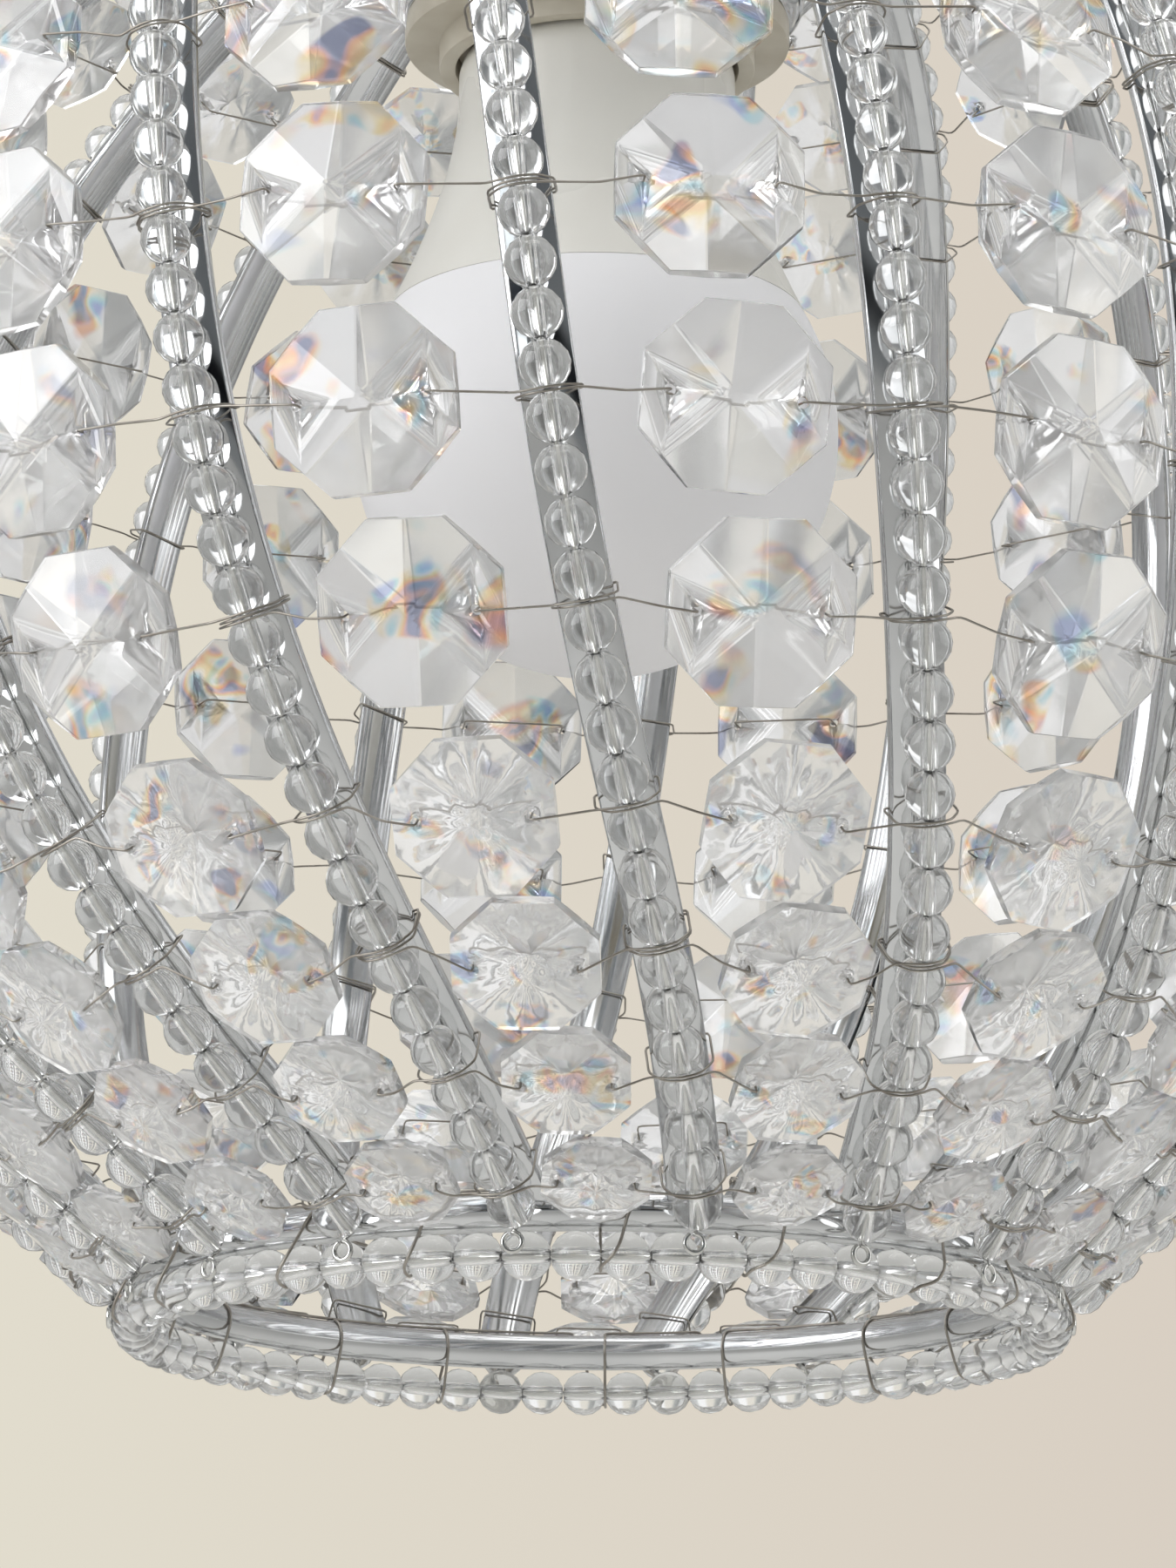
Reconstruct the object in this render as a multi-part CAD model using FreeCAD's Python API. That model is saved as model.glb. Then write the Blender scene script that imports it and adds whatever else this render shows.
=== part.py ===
"""Crystal globe pendant light.

A globe of leaning chrome strips carries strings of glass beads and rows of
octagon crystals round a small golf-ball lamp. Millimetres, +Z up. Heights are
measured from the middle of the bottom ring, and every node is written with its
origin at the mouth of the cord entry, where the pendant hangs.
"""
import FreeCAD, Part
import math
import os

V = FreeCAD.Vector
UP = V(0, 0, 1)

# Globe.
GLOBE_R = 90.7            # centres of the rib beads, from the globe's centre
GLOBE_Z = 79.0            # globe's centre above the bottom ring
RIBS = 18
FIRST_RIB_DEG = -4.1      # azimuth of rib 1 at the equator, from -Y to +X
LEAN_DEG = 6.3            # lean of a rib, even part, equator to ring
CURL_DEG = 9.0            # lean of a rib, part that gathers near the ring
FLARE = 1.3               # beads stand out this much more over the ring
FLARE_FROM_DEG = 50.0
FLARE_TO_DEG = 59.0
RING_R = 43.0
RING_ROD_D = 3.6

# Strips, beads and wires.
STRIP_W = 5.0
STRIP_T = 1.2
STRIP_SECTIONS = 33
STRIP_END_DEG = 61.0      # latitude of a strip's end, inside the ring's rod
BEAD_D = 4.6
BEAD_LEN = 4.26
BEAD_HOLE_D = 1.0
BEAD_PITCH = 4.45
ROW_BEADS = (0, 4, 8, 12, 15, 18, 21)   # beads from the equator to each row
END_BEADS = 1             # beads past the last row
STRING_WIRE_D = 0.7
EYELET_R = 0.85
EYELET_DROP = 4.2         # eyelet's centre under the last bead's centre
EYELET_OUT = 0.1          # eyelet's centre outside the last bead's centre
HOOK_IN = 1.2             # bend of the wire between last bead and eyelet
HOOK_DROP = 2.75
ROW_WIRE_D = 0.35
WIRE_SIDES = 6
GAP = 0.02                # pieces that lie on each other
NOTCH_RISE = 1.15         # row wire over the string's axis, between beads
NOTCH_HALF = 2.85         # half the straight run of row wire over a rib
TIE_GAP = 0.06            # tie behind the strip

# Crystals.
CRYSTAL_LAT = (0.0, 11.35, 22.6, 33.9, 42.6, 50.3, 57.1)
CRYSTAL_W = (16.0, 16.0, 16.0, 14.0, 12.8, 11.2, 9.6)
CRYSTAL_OUT = 0.5         # crystals' middle plane outside the bead centres
CRYSTAL_HALF_T = 0.175    # half thickness at the middle, per width
CRYSTAL_EDGE = 0.5        # half thickness at a corner
CRYSTAL_HOLE_D = 1.1
CRYSTAL_HOLE_AT = 0.35    # holes from the middle, per width
WIRE_LIFT = 0.3           # row wire off the crystal's face

# Bead string under the ring.
RING_BEADS = 63
RING_BEADS_OUT = 0.8
RING_BEADS_DROP = 4.1
RING_BEADS_TURN_DEG = 3.14
RING_NOTCH = 1.5          # binding wire from the string's axis
BINDING_CLEAR_DEG = 3.9   # binding wire keeps this far from a strip's foot
BINDING_STEP_DEG = 4.0

# Carrier.
CARRIER_R = 18.6
CARRIER_ROD_D = 5.0
CARRIER_Z = 132.0
ARM_D = 3.6
ARMS = 3

# Lamp holder.
BODY_D = 28.4
BODY_BORE_D = 25.4
BODY_BOTTOM = 5.7         # body's lower rim under the carrier rod's axis
SHOULDER_D = 36.6
SHOULDER_T = 3.0
UPPER_D = 33.0
UPPER_H = 25.0
WEB_UP = 17.0             # socket plate's seat over the shoulder
SHADE_OUTER_D = 32.0
SHADE_FLANGE_D = 39.0
SHADE_FLANGE_T = 2.6
SHADE_SKIRT = 5.2
THREAD_FIT = 0.1          # plain stand-in for a thread, radial
SOCKET_BORE_D = 14.2
SOCKET_WALL = 0.5
SOCKET_LEN = 19.0
PLATE_T = 5.0
PLATE_FIT = 0.1
CONTACT_W = 4.0
CONTACT_T = 0.6
CONTACT_DROP = 3.0
SCREW_D = 3.0
SCREW_HEAD_D = 5.0
SCREW_AT = 8.0
CAP_H = 12.0
CAP_WALL = 2.0
CAP_TOP_D = 22.0
ENTRY_D = 10.0            # M10 x 1 thread, plain
GRIP_BORE_D = 6.6
GRIP_HEAD_D = 16.0
GRIP_HEAD_H = 9.0
GRIP_SPIGOT = 5.0

# Lamp.
LAMP_D = 48.4
LAMP_Z = 85.6             # centre of the frosted ball
DOME_WALL = 1.2
JOIN_R = 21.0             # rim where the ball meets the white housing
NECK_D = 28.0
NECK_Z = 120.0            # flare runs out into the neck here
FLARE_CURVE = 1.6
NECK_TOP = 127.0
NECK_ROUND = 4.0
HOUSING_WALL = 1.6
JOIN_LAP = 0.05
CAP_D = 13.9
CAP_SHELL_WALL = 0.4
CAP_SEAT = 7.0            # shell goes this deep over the housing's nose
TIP_D = 5.0
TIP_H = 1.2
GLASS_H = 2.6
BOARD_T = 1.6
BOARD_FIT = 0.02

# Derived.
CENTRE = V(0, 0, GLOBE_Z)
BEAD_R = BEAD_D / 2.0
ROD_R = RING_ROD_D / 2.0
ROW_WIRE_R = ROW_WIRE_D / 2.0
STRIP_IN = BEAD_R + GAP + STRIP_T / 2.0
STRIP_BACK = BEAD_R + GAP + STRIP_T
TOP_Z = 2.0 * GLOBE_Z
PITCH_DEG = 360.0 / RIBS


def write(name, shapes):
    """Write one node: a single solid, or a group of separate solids."""
    group = shapes if isinstance(shapes, list) else [shapes]
    shape = group[0] if len(group) == 1 else Part.makeCompound(group)
    shape = shape.copy()
    shape.translate(V(0, 0, -ORIGIN_Z))
    shape.exportStep("parts/" + name + ".step")
    print(name, len(shape.Solids), round(shape.Volume, 1), shape.isValid())


# Directions on the globe.
def flare(lat):
    """Extra radius near the rings, for a latitude in degrees."""
    run = (abs(lat) - FLARE_FROM_DEG) / (FLARE_TO_DEG - FLARE_FROM_DEG)
    return FLARE * max(run, 0.0) ** 2


def on_globe(lat, azimuth, out=0.0):
    """Point at a latitude and azimuth in degrees, out from the bead centres."""
    radius = GLOBE_R + flare(lat) + out
    return CENTRE + outward(lat, azimuth) * radius


def outward(lat, azimuth):
    """Unit vector away from the globe's centre."""
    a = math.radians(azimuth)
    f = math.radians(lat)
    return V(math.cos(f) * math.sin(a), -math.cos(f) * math.cos(a), math.sin(f))


def lean(lat):
    """Azimuth of a rib at a latitude, from its azimuth at the equator."""
    drop = -math.sin(math.radians(lat)) * (GLOBE_R + flare(lat)) / GLOBE_Z
    return LEAN_DEG * drop + CURL_DEG * drop ** 3


def rib_azimuth(rib, lat):
    """Azimuth of rib number `rib`, from 0, at a latitude."""
    return FIRST_RIB_DEG + PITCH_DEG * rib + lean(lat)


def rib_point(rib, lat, out=0.0):
    """Point of a rib at a latitude."""
    return on_globe(lat, rib_azimuth(rib, lat), out)


def rib_frame(rib, lat):
    """Point, direction down the rib, outward direction and side direction."""
    step = 0.05
    along = rib_point(rib, lat - step) - rib_point(rib, lat + step)
    along.normalize()
    out = outward(lat, rib_azimuth(rib, lat))
    side = out.cross(along)
    side.normalize()
    out = along.cross(side)
    return rib_point(rib, lat), along, out, side


def latitudes_by_length(count, step=0.01):
    """Latitudes below the equator at every half bead pitch along a rib."""
    found = [0.0]
    lat = 0.0
    length = 0.0
    last = rib_point(0, 0.0)
    while len(found) < count:
        lat -= step
        here = rib_point(0, lat)
        length += here.distanceToPoint(last)
        last = here
        if length >= len(found) * BEAD_PITCH / 2.0:
            found.append(lat)
    return found


LAST_NOTCH = ROW_BEADS[-1]
HALF_BEADS = LAST_NOTCH + END_BEADS
HALF_LATS = latitudes_by_length(2 * HALF_BEADS + 1)


def bead_lat(index):
    """Latitude of bead `index` from the equator down, from 0."""
    return HALF_LATS[2 * index + 1]


def notch_lat(index):
    """Latitude of the notch above bead `index`."""
    return HALF_LATS[2 * index]


def point_to_top(point):
    """A point of the lower half turned over to the upper half."""
    a = math.radians(FIRST_RIB_DEG)
    turn = FreeCAD.Rotation(V(math.sin(a), -math.cos(a), 0), 180)
    return CENTRE + turn.multVec(point - CENTRE)


def to_top(shape):
    """The lower half's piece turned over to the same place in the upper half."""
    a = math.radians(FIRST_RIB_DEG)
    turned = shape.copy()
    turned.rotate(CENTRE, V(math.sin(a), -math.cos(a), 0), 180)
    return turned


def set_in(shape, origin, x_axis, z_axis):
    """A copy of a shape with its own X and Z axes laid along two directions."""
    y_axis = z_axis.cross(x_axis)
    placed = shape.copy()
    matrix = FreeCAD.Matrix(
        x_axis.x, y_axis.x, z_axis.x, origin.x,
        x_axis.y, y_axis.y, z_axis.y, origin.y,
        x_axis.z, y_axis.z, z_axis.z, origin.z,
        0, 0, 0, 1)
    placed.Placement = FreeCAD.Placement(matrix)
    return placed


# Plain shapes.
def disc(radius, bottom, top, bore=0.0):
    """Upright disc or tube between two heights."""
    solid = Part.makeCylinder(radius, top - bottom, V(0, 0, bottom))
    if bore > 0:
        solid = solid.cut(Part.makeCylinder(bore, top - bottom + 2, V(0, 0, bottom - 1)))
    return solid


def turned(points):
    """Solid turned about +Z from a closed outline of (radius, height) pairs."""
    outline = [V(r, 0, z) for r, z in points]
    outline.append(outline[0])
    face = Part.Face(Part.makePolygon(outline))
    return face.revolve(V(0, 0, 0), UP, 360)


def hoop(radius, wire_radius, height):
    """Round bar bent into a level ring."""
    return Part.makeTorus(radius, wire_radius, V(0, 0, height), UP)


def wire_solid(points, diameter):
    """Thin wire with straight runs and mitred bends, as one closed solid."""
    radius = diameter / 2.0
    runs = [(b - a).normalize() for a, b in zip(points[:-1], points[1:])]
    helper = V(0, 0, 1) if abs(runs[0].z) < 0.9 else V(1, 0, 0)
    u = runs[0].cross(helper)
    u.normalize()
    w = runs[0].cross(u)
    ring = []
    for k in range(WIRE_SIDES):
        a = 2.0 * math.pi * k / WIRE_SIDES
        ring.append(points[0] + u * (radius * math.cos(a)) + w * (radius * math.sin(a)))
    rings = [ring]
    for index in range(1, len(points)):
        run = runs[index - 1]
        following = runs[index] if index < len(runs) else run
        normal = run + following
        normal.normalize()
        ring = [p + run * ((points[index] - p).dot(normal) / run.dot(normal)) for p in ring]
        rings.append(ring)
    faces = [flat(rings[0]), flat(rings[-1])]
    for low, high in zip(rings[:-1], rings[1:]):
        for k in range(WIRE_SIDES):
            m = (k + 1) % WIRE_SIDES
            faces.append(flat([low[k], low[m], high[m], high[k]]))
    return solid_of(faces)


def flat(points):
    """Flat face inside a closed loop of points."""
    return Part.Face(Part.makePolygon(list(points) + [points[0]]))


def solid_of(faces):
    """Closed solid from faces that share their edges."""
    shell = Part.makeShell(faces)
    shell.sewShape()
    solid = Part.makeSolid(shell)
    if solid.Volume < 0:
        solid.reverse()
    return solid


# Frame.
def ring(height):
    """Chrome ring of round rod."""
    return hoop(RING_R, ROD_R, height)


def rib_strip(rib, seats):
    """Leaning chrome strip from ring to ring, its ends cut to the rods."""
    sections = []
    for k in range(STRIP_SECTIONS):
        lat = STRIP_END_DEG * (1.0 - 2.0 * k / (STRIP_SECTIONS - 1))
        point, along, out, side = rib_frame(rib, lat)
        middle = point - out * STRIP_IN
        across = side * (STRIP_W / 2.0)
        through = out * (STRIP_T / 2.0)
        corners = [middle + across + through, middle - across + through,
                   middle - across - through, middle + across - through]
        sections.append(Part.makePolygon(corners + [corners[0]]))
    strip = Part.makeLoft(sections, True, False)
    for seat in seats:
        strip = strip.cut(seat)
    return largest(strip)


def largest(shape):
    """The largest solid of a shape."""
    return max(shape.Solids, key=lambda solid: solid.Volume)


# Beads.
def bead():
    """Glass bead with flattened ends and a hole, its axis along Z."""
    ball = Part.makeSphere(BEAD_R)
    slab = Part.makeCylinder(BEAD_D, BEAD_LEN, V(0, 0, -BEAD_LEN / 2.0))
    hole = Part.makeCylinder(BEAD_HOLE_D / 2.0, BEAD_D * 2, V(0, 0, -BEAD_D))
    return ball.common(slab).cut(hole)


def rib_beads(rib, one):
    """The bead string of one rib, ring to ring."""
    beads = []
    for index in range(HALF_BEADS):
        lat = bead_lat(index)
        for mirrored in (lat, -lat):
            point, along, out, side = rib_frame(rib, mirrored)
            beads.append(set_in(one, point, side, along))
    return beads


def hook_points(rib):
    """Wire below the last bead: a bend, then the eyelet's open loop."""
    lat = bead_lat(HALF_BEADS - 1)
    azimuth = rib_azimuth(rib, lat)
    last, along, out, side = rib_frame(rib, lat)
    level = outward(0.0, azimuth)
    across = UP.cross(level)
    middle = last + level * EYELET_OUT - UP * EYELET_DROP
    leave = last + along * (BEAD_LEN / 2.0 + STRING_WIRE_D / 2.0 + GAP)
    bend = last - level * HOOK_IN - UP * HOOK_DROP
    points = [leave, bend]
    for deg in (90, 45, 0, -45, -90, -135, -180):
        a = math.radians(deg)
        points.append(middle + across * (EYELET_R * math.cos(a)) + UP * (EYELET_R * math.sin(a)))
    return points


def string_wire(rib):
    """Wire through the beads of one rib, with an eyelet at each end."""
    lower = [rib_point(rib, notch_lat(k)) for k in range(1, LAST_NOTCH + 1)]
    partner = -rib
    upper = [rib_point(partner, notch_lat(k)) for k in range(1, LAST_NOTCH + 1)]
    upper = [point_to_top(p) for p in upper + hook_points(partner)]
    points = upper[::-1] + [rib_point(rib, 0.0)] + lower + hook_points(rib)
    return wire_solid(points, STRING_WIRE_D)


# Crystals.
def crystal_height(width, reach):
    """Half thickness of a crystal at a distance towards a corner."""
    middle = CRYSTAL_HALF_T * width
    corner = width / 2.0 / math.cos(math.pi / 8.0)
    return middle - (middle - CRYSTAL_EDGE) * reach / corner


def crystal(width):
    """Octagon crystal: eight facets to a point each side, and two holes."""
    flat_r = width / 2.0
    corner_r = flat_r / math.cos(math.pi / 8.0)
    flat_h = crystal_height(width, flat_r * math.cos(math.pi / 8.0))
    apex = CRYSTAL_HALF_T * width
    mids = [(flat_r * math.cos(math.pi / 4 * k), flat_r * math.sin(math.pi / 4 * k))
            for k in range(8)]
    corners = [(corner_r * math.cos(math.pi / 4 * (k + 0.5)),
                corner_r * math.sin(math.pi / 4 * (k + 0.5))) for k in range(8)]
    faces = []
    for side in (1, -1):
        for k in range(8):
            m = (k + 1) % 8
            faces.append(flat([V(0, 0, side * apex), V(*mids[k], side * flat_h),
                               V(*corners[k], side * CRYSTAL_EDGE),
                               V(*mids[m], side * flat_h)]))
    for k in range(8):
        p = (k - 1) % 8
        faces.append(flat([V(*corners[p], CRYSTAL_EDGE), V(*mids[k], flat_h),
                           V(*corners[k], CRYSTAL_EDGE), V(*corners[k], -CRYSTAL_EDGE),
                           V(*mids[k], -flat_h), V(*corners[p], -CRYSTAL_EDGE)]))
    solid = solid_of(faces)
    for x in (-CRYSTAL_HOLE_AT * width, CRYSTAL_HOLE_AT * width):
        hole = Part.makeCylinder(CRYSTAL_HOLE_D / 2.0, 4 * apex, V(x, 0, -2 * apex))
        solid = solid.cut(hole)
    return largest(solid)


def crystal_frame(rib, lat):
    """Centre, level side direction and outward direction of a crystal."""
    azimuth = rib_azimuth(rib + 0.5, lat)
    out = outward(lat, azimuth)
    side = UP.cross(out)
    side.normalize()
    return on_globe(lat, azimuth, CRYSTAL_OUT), side, out


def crystal_row(row):
    """The crystals of one row, one in each gap between ribs."""
    one = crystal(CRYSTAL_W[row])
    crystals = []
    for rib in range(RIBS):
        centre, side, out = crystal_frame(rib, -CRYSTAL_LAT[row])
        crystals.append(set_in(one, centre, side, out))
    return crystals


# Row wires.
def crossing(rib, row, across, rise):
    """Point at a rib's row notch, off the string's axis by two distances."""
    point, along, out, side = rib_frame(rib, notch_lat(ROW_BEADS[row]))
    return point + side * across + out * rise


def gap_points(rib, row):
    """Row wire from one rib's crossing through the next crystal's holes."""
    width = CRYSTAL_W[row]
    centre, side, out = crystal_frame(rib, -CRYSTAL_LAT[row])
    hole = CRYSTAL_HOLE_AT * width
    front = crystal_height(width, hole * math.cos(math.pi / 8.0)) + WIRE_LIFT
    back = CRYSTAL_HALF_T * width + WIRE_LIFT
    return [centre - side * hole + out * front,
            centre - side * hole - out * back,
            centre + side * hole - out * back,
            centre + side * hole + out * front]


def row_wire(row):
    """One wire round the globe, over every rib and through every crystal."""
    points = [crossing(0, row, 0.2, NOTCH_RISE), crossing(0, row, NOTCH_HALF, NOTCH_RISE)]
    for rib in range(RIBS):
        points += gap_points(rib, row)
        following = rib + 1
        points.append(crossing(following, row, -NOTCH_HALF, NOTCH_RISE))
        if following < RIBS:
            points.append(crossing(following, row, NOTCH_HALF, NOTCH_RISE))
    points.append(crossing(RIBS, row, -0.2, NOTCH_RISE))
    return wire_solid(points, ROW_WIRE_D)


def rib_tie(rib, row):
    """Tie of wire behind a strip, up both sides to the row wire."""
    top = NOTCH_RISE - ROW_WIRE_D - GAP
    back = -(STRIP_BACK + ROW_WIRE_R + TIE_GAP)
    points = [crossing(rib, row, -NOTCH_HALF, top), crossing(rib, row, -NOTCH_HALF, back),
              crossing(rib, row, NOTCH_HALF, back), crossing(rib, row, NOTCH_HALF, top)]
    return wire_solid(points, ROW_WIRE_D)


# Bead string under the ring.
def level_point(radius, azimuth, height):
    """Point at a radius from the globe's axis."""
    a = math.radians(azimuth)
    return V(radius * math.sin(a), -radius * math.cos(a), height)


def foot_azimuth(rib):
    """Azimuth where a strip meets the bottom ring."""
    return rib_azimuth(rib, -STRIP_END_DEG)


def ring_bead_azimuth(index):
    """Azimuth of a ring bead, counted in bead pitches."""
    return foot_azimuth(0) + RING_BEADS_TURN_DEG + 360.0 / RING_BEADS * index


def ring_bead_string(one):
    """Beads side by side under the bottom ring."""
    beads = []
    for index in range(RING_BEADS):
        azimuth = ring_bead_azimuth(index)
        centre = level_point(RING_R + RING_BEADS_OUT, azimuth, -RING_BEADS_DROP)
        along = UP.cross(outward(0.0, azimuth))
        beads.append(set_in(one, centre, UP, along))
    return beads


def clear_of_feet(azimuth):
    """Whether binding wire can go over the ring at an azimuth."""
    for rib in range(RIBS):
        apart = (azimuth - foot_azimuth(rib) + 180.0) % 360.0 - 180.0
        if abs(apart) < BINDING_CLEAR_DEG:
            return False
    return True


def binding_wire():
    """Wire wound round the ring and its bead string, turn after turn."""
    notches = [ring_bead_azimuth(k + 0.5) for k in range(RING_BEADS)]
    used = [a for a in notches if clear_of_feet(a)]
    round_rod = (ROD_R + ROW_WIRE_R + GAP) / math.cos(math.pi / 8.0)
    round_notch = RING_NOTCH

    def section(base, reach, deg, azimuth):
        a = math.radians(deg)
        return level_point(base[0] + reach * math.cos(a), azimuth,
                           base[1] + reach * math.sin(a))

    rod = (RING_R, 0.0)
    string = (RING_R + RING_BEADS_OUT, -RING_BEADS_DROP)
    points = []
    for index, azimuth in enumerate(used):
        points.append(section(rod, round_rod, 205, azimuth))
        for deg in (225, 270, 315):
            points.append(section(string, round_notch, deg, azimuth))
        for deg in (-20, 25, 70, 115):
            points.append(section(rod, round_rod, deg, azimuth))
        if index + 1 < len(used):
            span = used[index + 1] - azimuth
            steps = max(1, int(math.ceil(span / BINDING_STEP_DEG)))
            for k in range(steps + 1):
                points.append(section(rod, round_rod, 160, azimuth + span * k / steps))
    return wire_solid(points, ROW_WIRE_D)


# Carrier.
def carrier_ring():
    """Thick chrome ring that rests on the holder's flange."""
    return hoop(CARRIER_R, CARRIER_ROD_D / 2.0, CARRIER_Z)


def carrier_arm(azimuth, seats):
    """Chrome arm from the carrier ring out and up to the top ring."""
    low = level_point(CARRIER_R, azimuth, CARRIER_Z)
    high = level_point(RING_R, azimuth, TOP_Z)
    arm = Part.makeCylinder(ARM_D / 2.0, low.distanceToPoint(high), low, high - low)
    for seat in seats:
        arm = arm.cut(seat)
    return largest(arm)


# Lamp holder.
SHOULDER_Z = CARRIER_Z + CARRIER_ROD_D / 2.0
FLANGE_Z = CARRIER_Z - CARRIER_ROD_D / 2.0
BODY_LOW = CARRIER_Z - BODY_BOTTOM
UPPER_TOP = SHOULDER_Z + UPPER_H
SEAT_Z = SHOULDER_Z + WEB_UP
PLATE_TOP = SEAT_Z + PLATE_T
ORIGIN_Z = UPPER_TOP + CAP_H + GRIP_HEAD_H


def holder_body():
    """Holder's body: threaded lower tube, shoulder, upper tube, plate seat."""
    body = disc(BODY_D / 2.0, BODY_LOW, UPPER_TOP)
    body = body.fuse(disc(SHOULDER_D / 2.0, SHOULDER_Z, SHOULDER_Z + SHOULDER_T))
    body = body.fuse(disc(UPPER_D / 2.0, SHOULDER_Z, UPPER_TOP))
    body = body.cut(disc(BODY_BORE_D / 2.0, BODY_LOW - 1, SEAT_Z + 1))
    body = body.cut(disc(BODY_D / 2.0, SEAT_Z, UPPER_TOP + 1))
    return largest(body.removeSplitter())


def shade_ring():
    """Ring screwed on from below: flange under the carrier, skirt below it."""
    bore = BODY_D / 2.0 + THREAD_FIT
    ring_solid = disc(SHADE_OUTER_D / 2.0, FLANGE_Z - SHADE_SKIRT, FLANGE_Z)
    ring_solid = ring_solid.fuse(disc(SHADE_FLANGE_D / 2.0, FLANGE_Z - SHADE_FLANGE_T, FLANGE_Z))
    return largest(ring_solid.cut(disc(bore, FLANGE_Z - SHADE_SKIRT - 1, FLANGE_Z + 1)))


def socket_shell():
    """Metal shell that takes the lamp's cap, hung from the socket plate."""
    inner = SOCKET_BORE_D / 2.0
    return disc(inner + SOCKET_WALL, SEAT_Z - SOCKET_LEN, SEAT_Z, inner)


def socket_plate():
    """Insulating plate in the body, with slots for contact and screws."""
    plate = disc(BODY_D / 2.0 - PLATE_FIT, SEAT_Z, PLATE_TOP)
    for sign in (-1, 1):
        hole = Part.makeCylinder(SCREW_D / 2.0, PLATE_T + 2, V(sign * SCREW_AT, 0, SEAT_Z - 1))
        plate = plate.cut(hole)
    slot = Part.makeBox(CONTACT_W, CONTACT_T, PLATE_T + 2,
                        V(-CONTACT_W / 2.0, -CONTACT_T / 2.0, SEAT_Z - 1))
    return largest(plate.cut(slot))


def centre_contact():
    """Brass tongue through the plate down to the lamp's tip."""
    stem = Part.makeBox(CONTACT_W, CONTACT_T, PLATE_T + CONTACT_DROP,
                        V(-CONTACT_W / 2.0, -CONTACT_T / 2.0, SEAT_Z - CONTACT_DROP))
    foot = Part.makeBox(CONTACT_W, CONTACT_W, CONTACT_T,
                        V(-CONTACT_W / 2.0, -CONTACT_T / 2.0, SEAT_Z - CONTACT_DROP))
    return largest(stem.fuse(foot).removeSplitter())


def terminal_screws():
    """Two screws in the plate for the cord's wires."""
    screws = []
    for sign in (-1, 1):
        shank = Part.makeCylinder(SCREW_D / 2.0, PLATE_T, V(sign * SCREW_AT, 0, SEAT_Z))
        head = Part.makeCylinder(SCREW_HEAD_D / 2.0, SCREW_D / 2.0,
                                 V(sign * SCREW_AT, 0, PLATE_TOP))
        screws.append(largest(shank.fuse(head).removeSplitter()))
    return screws


def holder_cap():
    """Tapered cap on the body, with the threaded cord entry on top."""
    outer = UPPER_D / 2.0
    top = CAP_TOP_D / 2.0
    high = UPPER_TOP + CAP_H
    points = [(outer - CAP_WALL, UPPER_TOP), (outer, UPPER_TOP), (outer, UPPER_TOP + CAP_WALL),
              (top, high), (ENTRY_D / 2.0, high), (ENTRY_D / 2.0, high - GRIP_SPIGOT),
              (top - CAP_WALL, high - GRIP_SPIGOT), (outer - CAP_WALL, UPPER_TOP + CAP_WALL)]
    return turned(points)


def cord_grip():
    """Cord grip in the cap's thread, bored for the flex."""
    high = UPPER_TOP + CAP_H
    grip = disc(ENTRY_D / 2.0, high - GRIP_SPIGOT, high)
    head = Part.makeCone(GRIP_HEAD_D / 2.0, ENTRY_D / 2.0 + 1.0, GRIP_HEAD_H, V(0, 0, high))
    grip = grip.fuse(head)
    bore = disc(GRIP_BORE_D / 2.0, high - GRIP_SPIGOT - 1, high + GRIP_HEAD_H + 1)
    return largest(grip.cut(bore).removeSplitter())


# Lamp.
LAMP_R = LAMP_D / 2.0
JOIN_Z = LAMP_Z + math.sqrt(LAMP_R ** 2 - JOIN_R ** 2)
TIP_TOP = SEAT_Z - CONTACT_DROP - GAP
TIP_LOW = TIP_TOP - TIP_H
GLASS_LOW = TIP_LOW - GLASS_H
SHELL_LOW = NECK_TOP + GAP
NOSE_TOP = SHELL_LOW + CAP_SEAT


def lamp_diffuser():
    """Frosted ball, open at the top where it meets the housing."""
    ball = Part.makeSphere(LAMP_R, V(0, 0, LAMP_Z))
    inner = Part.makeSphere(LAMP_R - DOME_WALL, V(0, 0, LAMP_Z))
    keep = disc(LAMP_D, LAMP_Z - LAMP_D, JOIN_Z)
    return largest(ball.cut(inner).common(keep))


def housing_outline():
    """Outer outline of the white housing, rim to nose, (radius, height)."""
    neck = NECK_D / 2.0
    points = []
    for k in range(9):
        t = k / 8.0
        blend = (1.0 - t) ** FLARE_CURVE
        points.append((neck + (JOIN_R + JOIN_LAP - neck) * blend,
                       JOIN_Z + GAP + (NECK_Z - JOIN_Z) * t))
    points.append((neck, NECK_TOP - NECK_ROUND))
    for deg in (30, 60, 90):
        a = math.radians(deg)
        points.append((neck - NECK_ROUND * (1.0 - math.cos(a)),
                       NECK_TOP - NECK_ROUND * (1.0 - math.sin(a))))
    return points


def lamp_housing():
    """White housing: flare, neck and the nose inside the cap shell."""
    nose = CAP_D / 2.0 - CAP_SHELL_WALL - GAP
    outline = housing_outline()
    inner = [(r - HOUSING_WALL, z) for r, z in outline[:10]]
    points = outline + [(nose, NECK_TOP), (nose, NOSE_TOP), (nose - HOUSING_WALL, NOSE_TOP),
                        (nose - HOUSING_WALL, inner[-1][1])] + inner[::-1]
    return turned(points)


def lamp_cap_shell():
    """Screw shell of the lamp's cap, thread drawn plain."""
    outer = CAP_D / 2.0
    wall = outer - CAP_SHELL_WALL
    return disc(outer, SHELL_LOW, GLASS_LOW, wall)


def lamp_cap_insulator():
    """Black insulator that closes the cap shell and holds the tip."""
    outer = CAP_D / 2.0
    points = [(0, GLASS_LOW), (outer, GLASS_LOW), (TIP_D / 2.0 + 1.0, TIP_LOW), (0, TIP_LOW)]
    return turned(points)


def lamp_tip():
    """Centre contact of the lamp."""
    return disc(TIP_D / 2.0, TIP_LOW, TIP_TOP)


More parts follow.
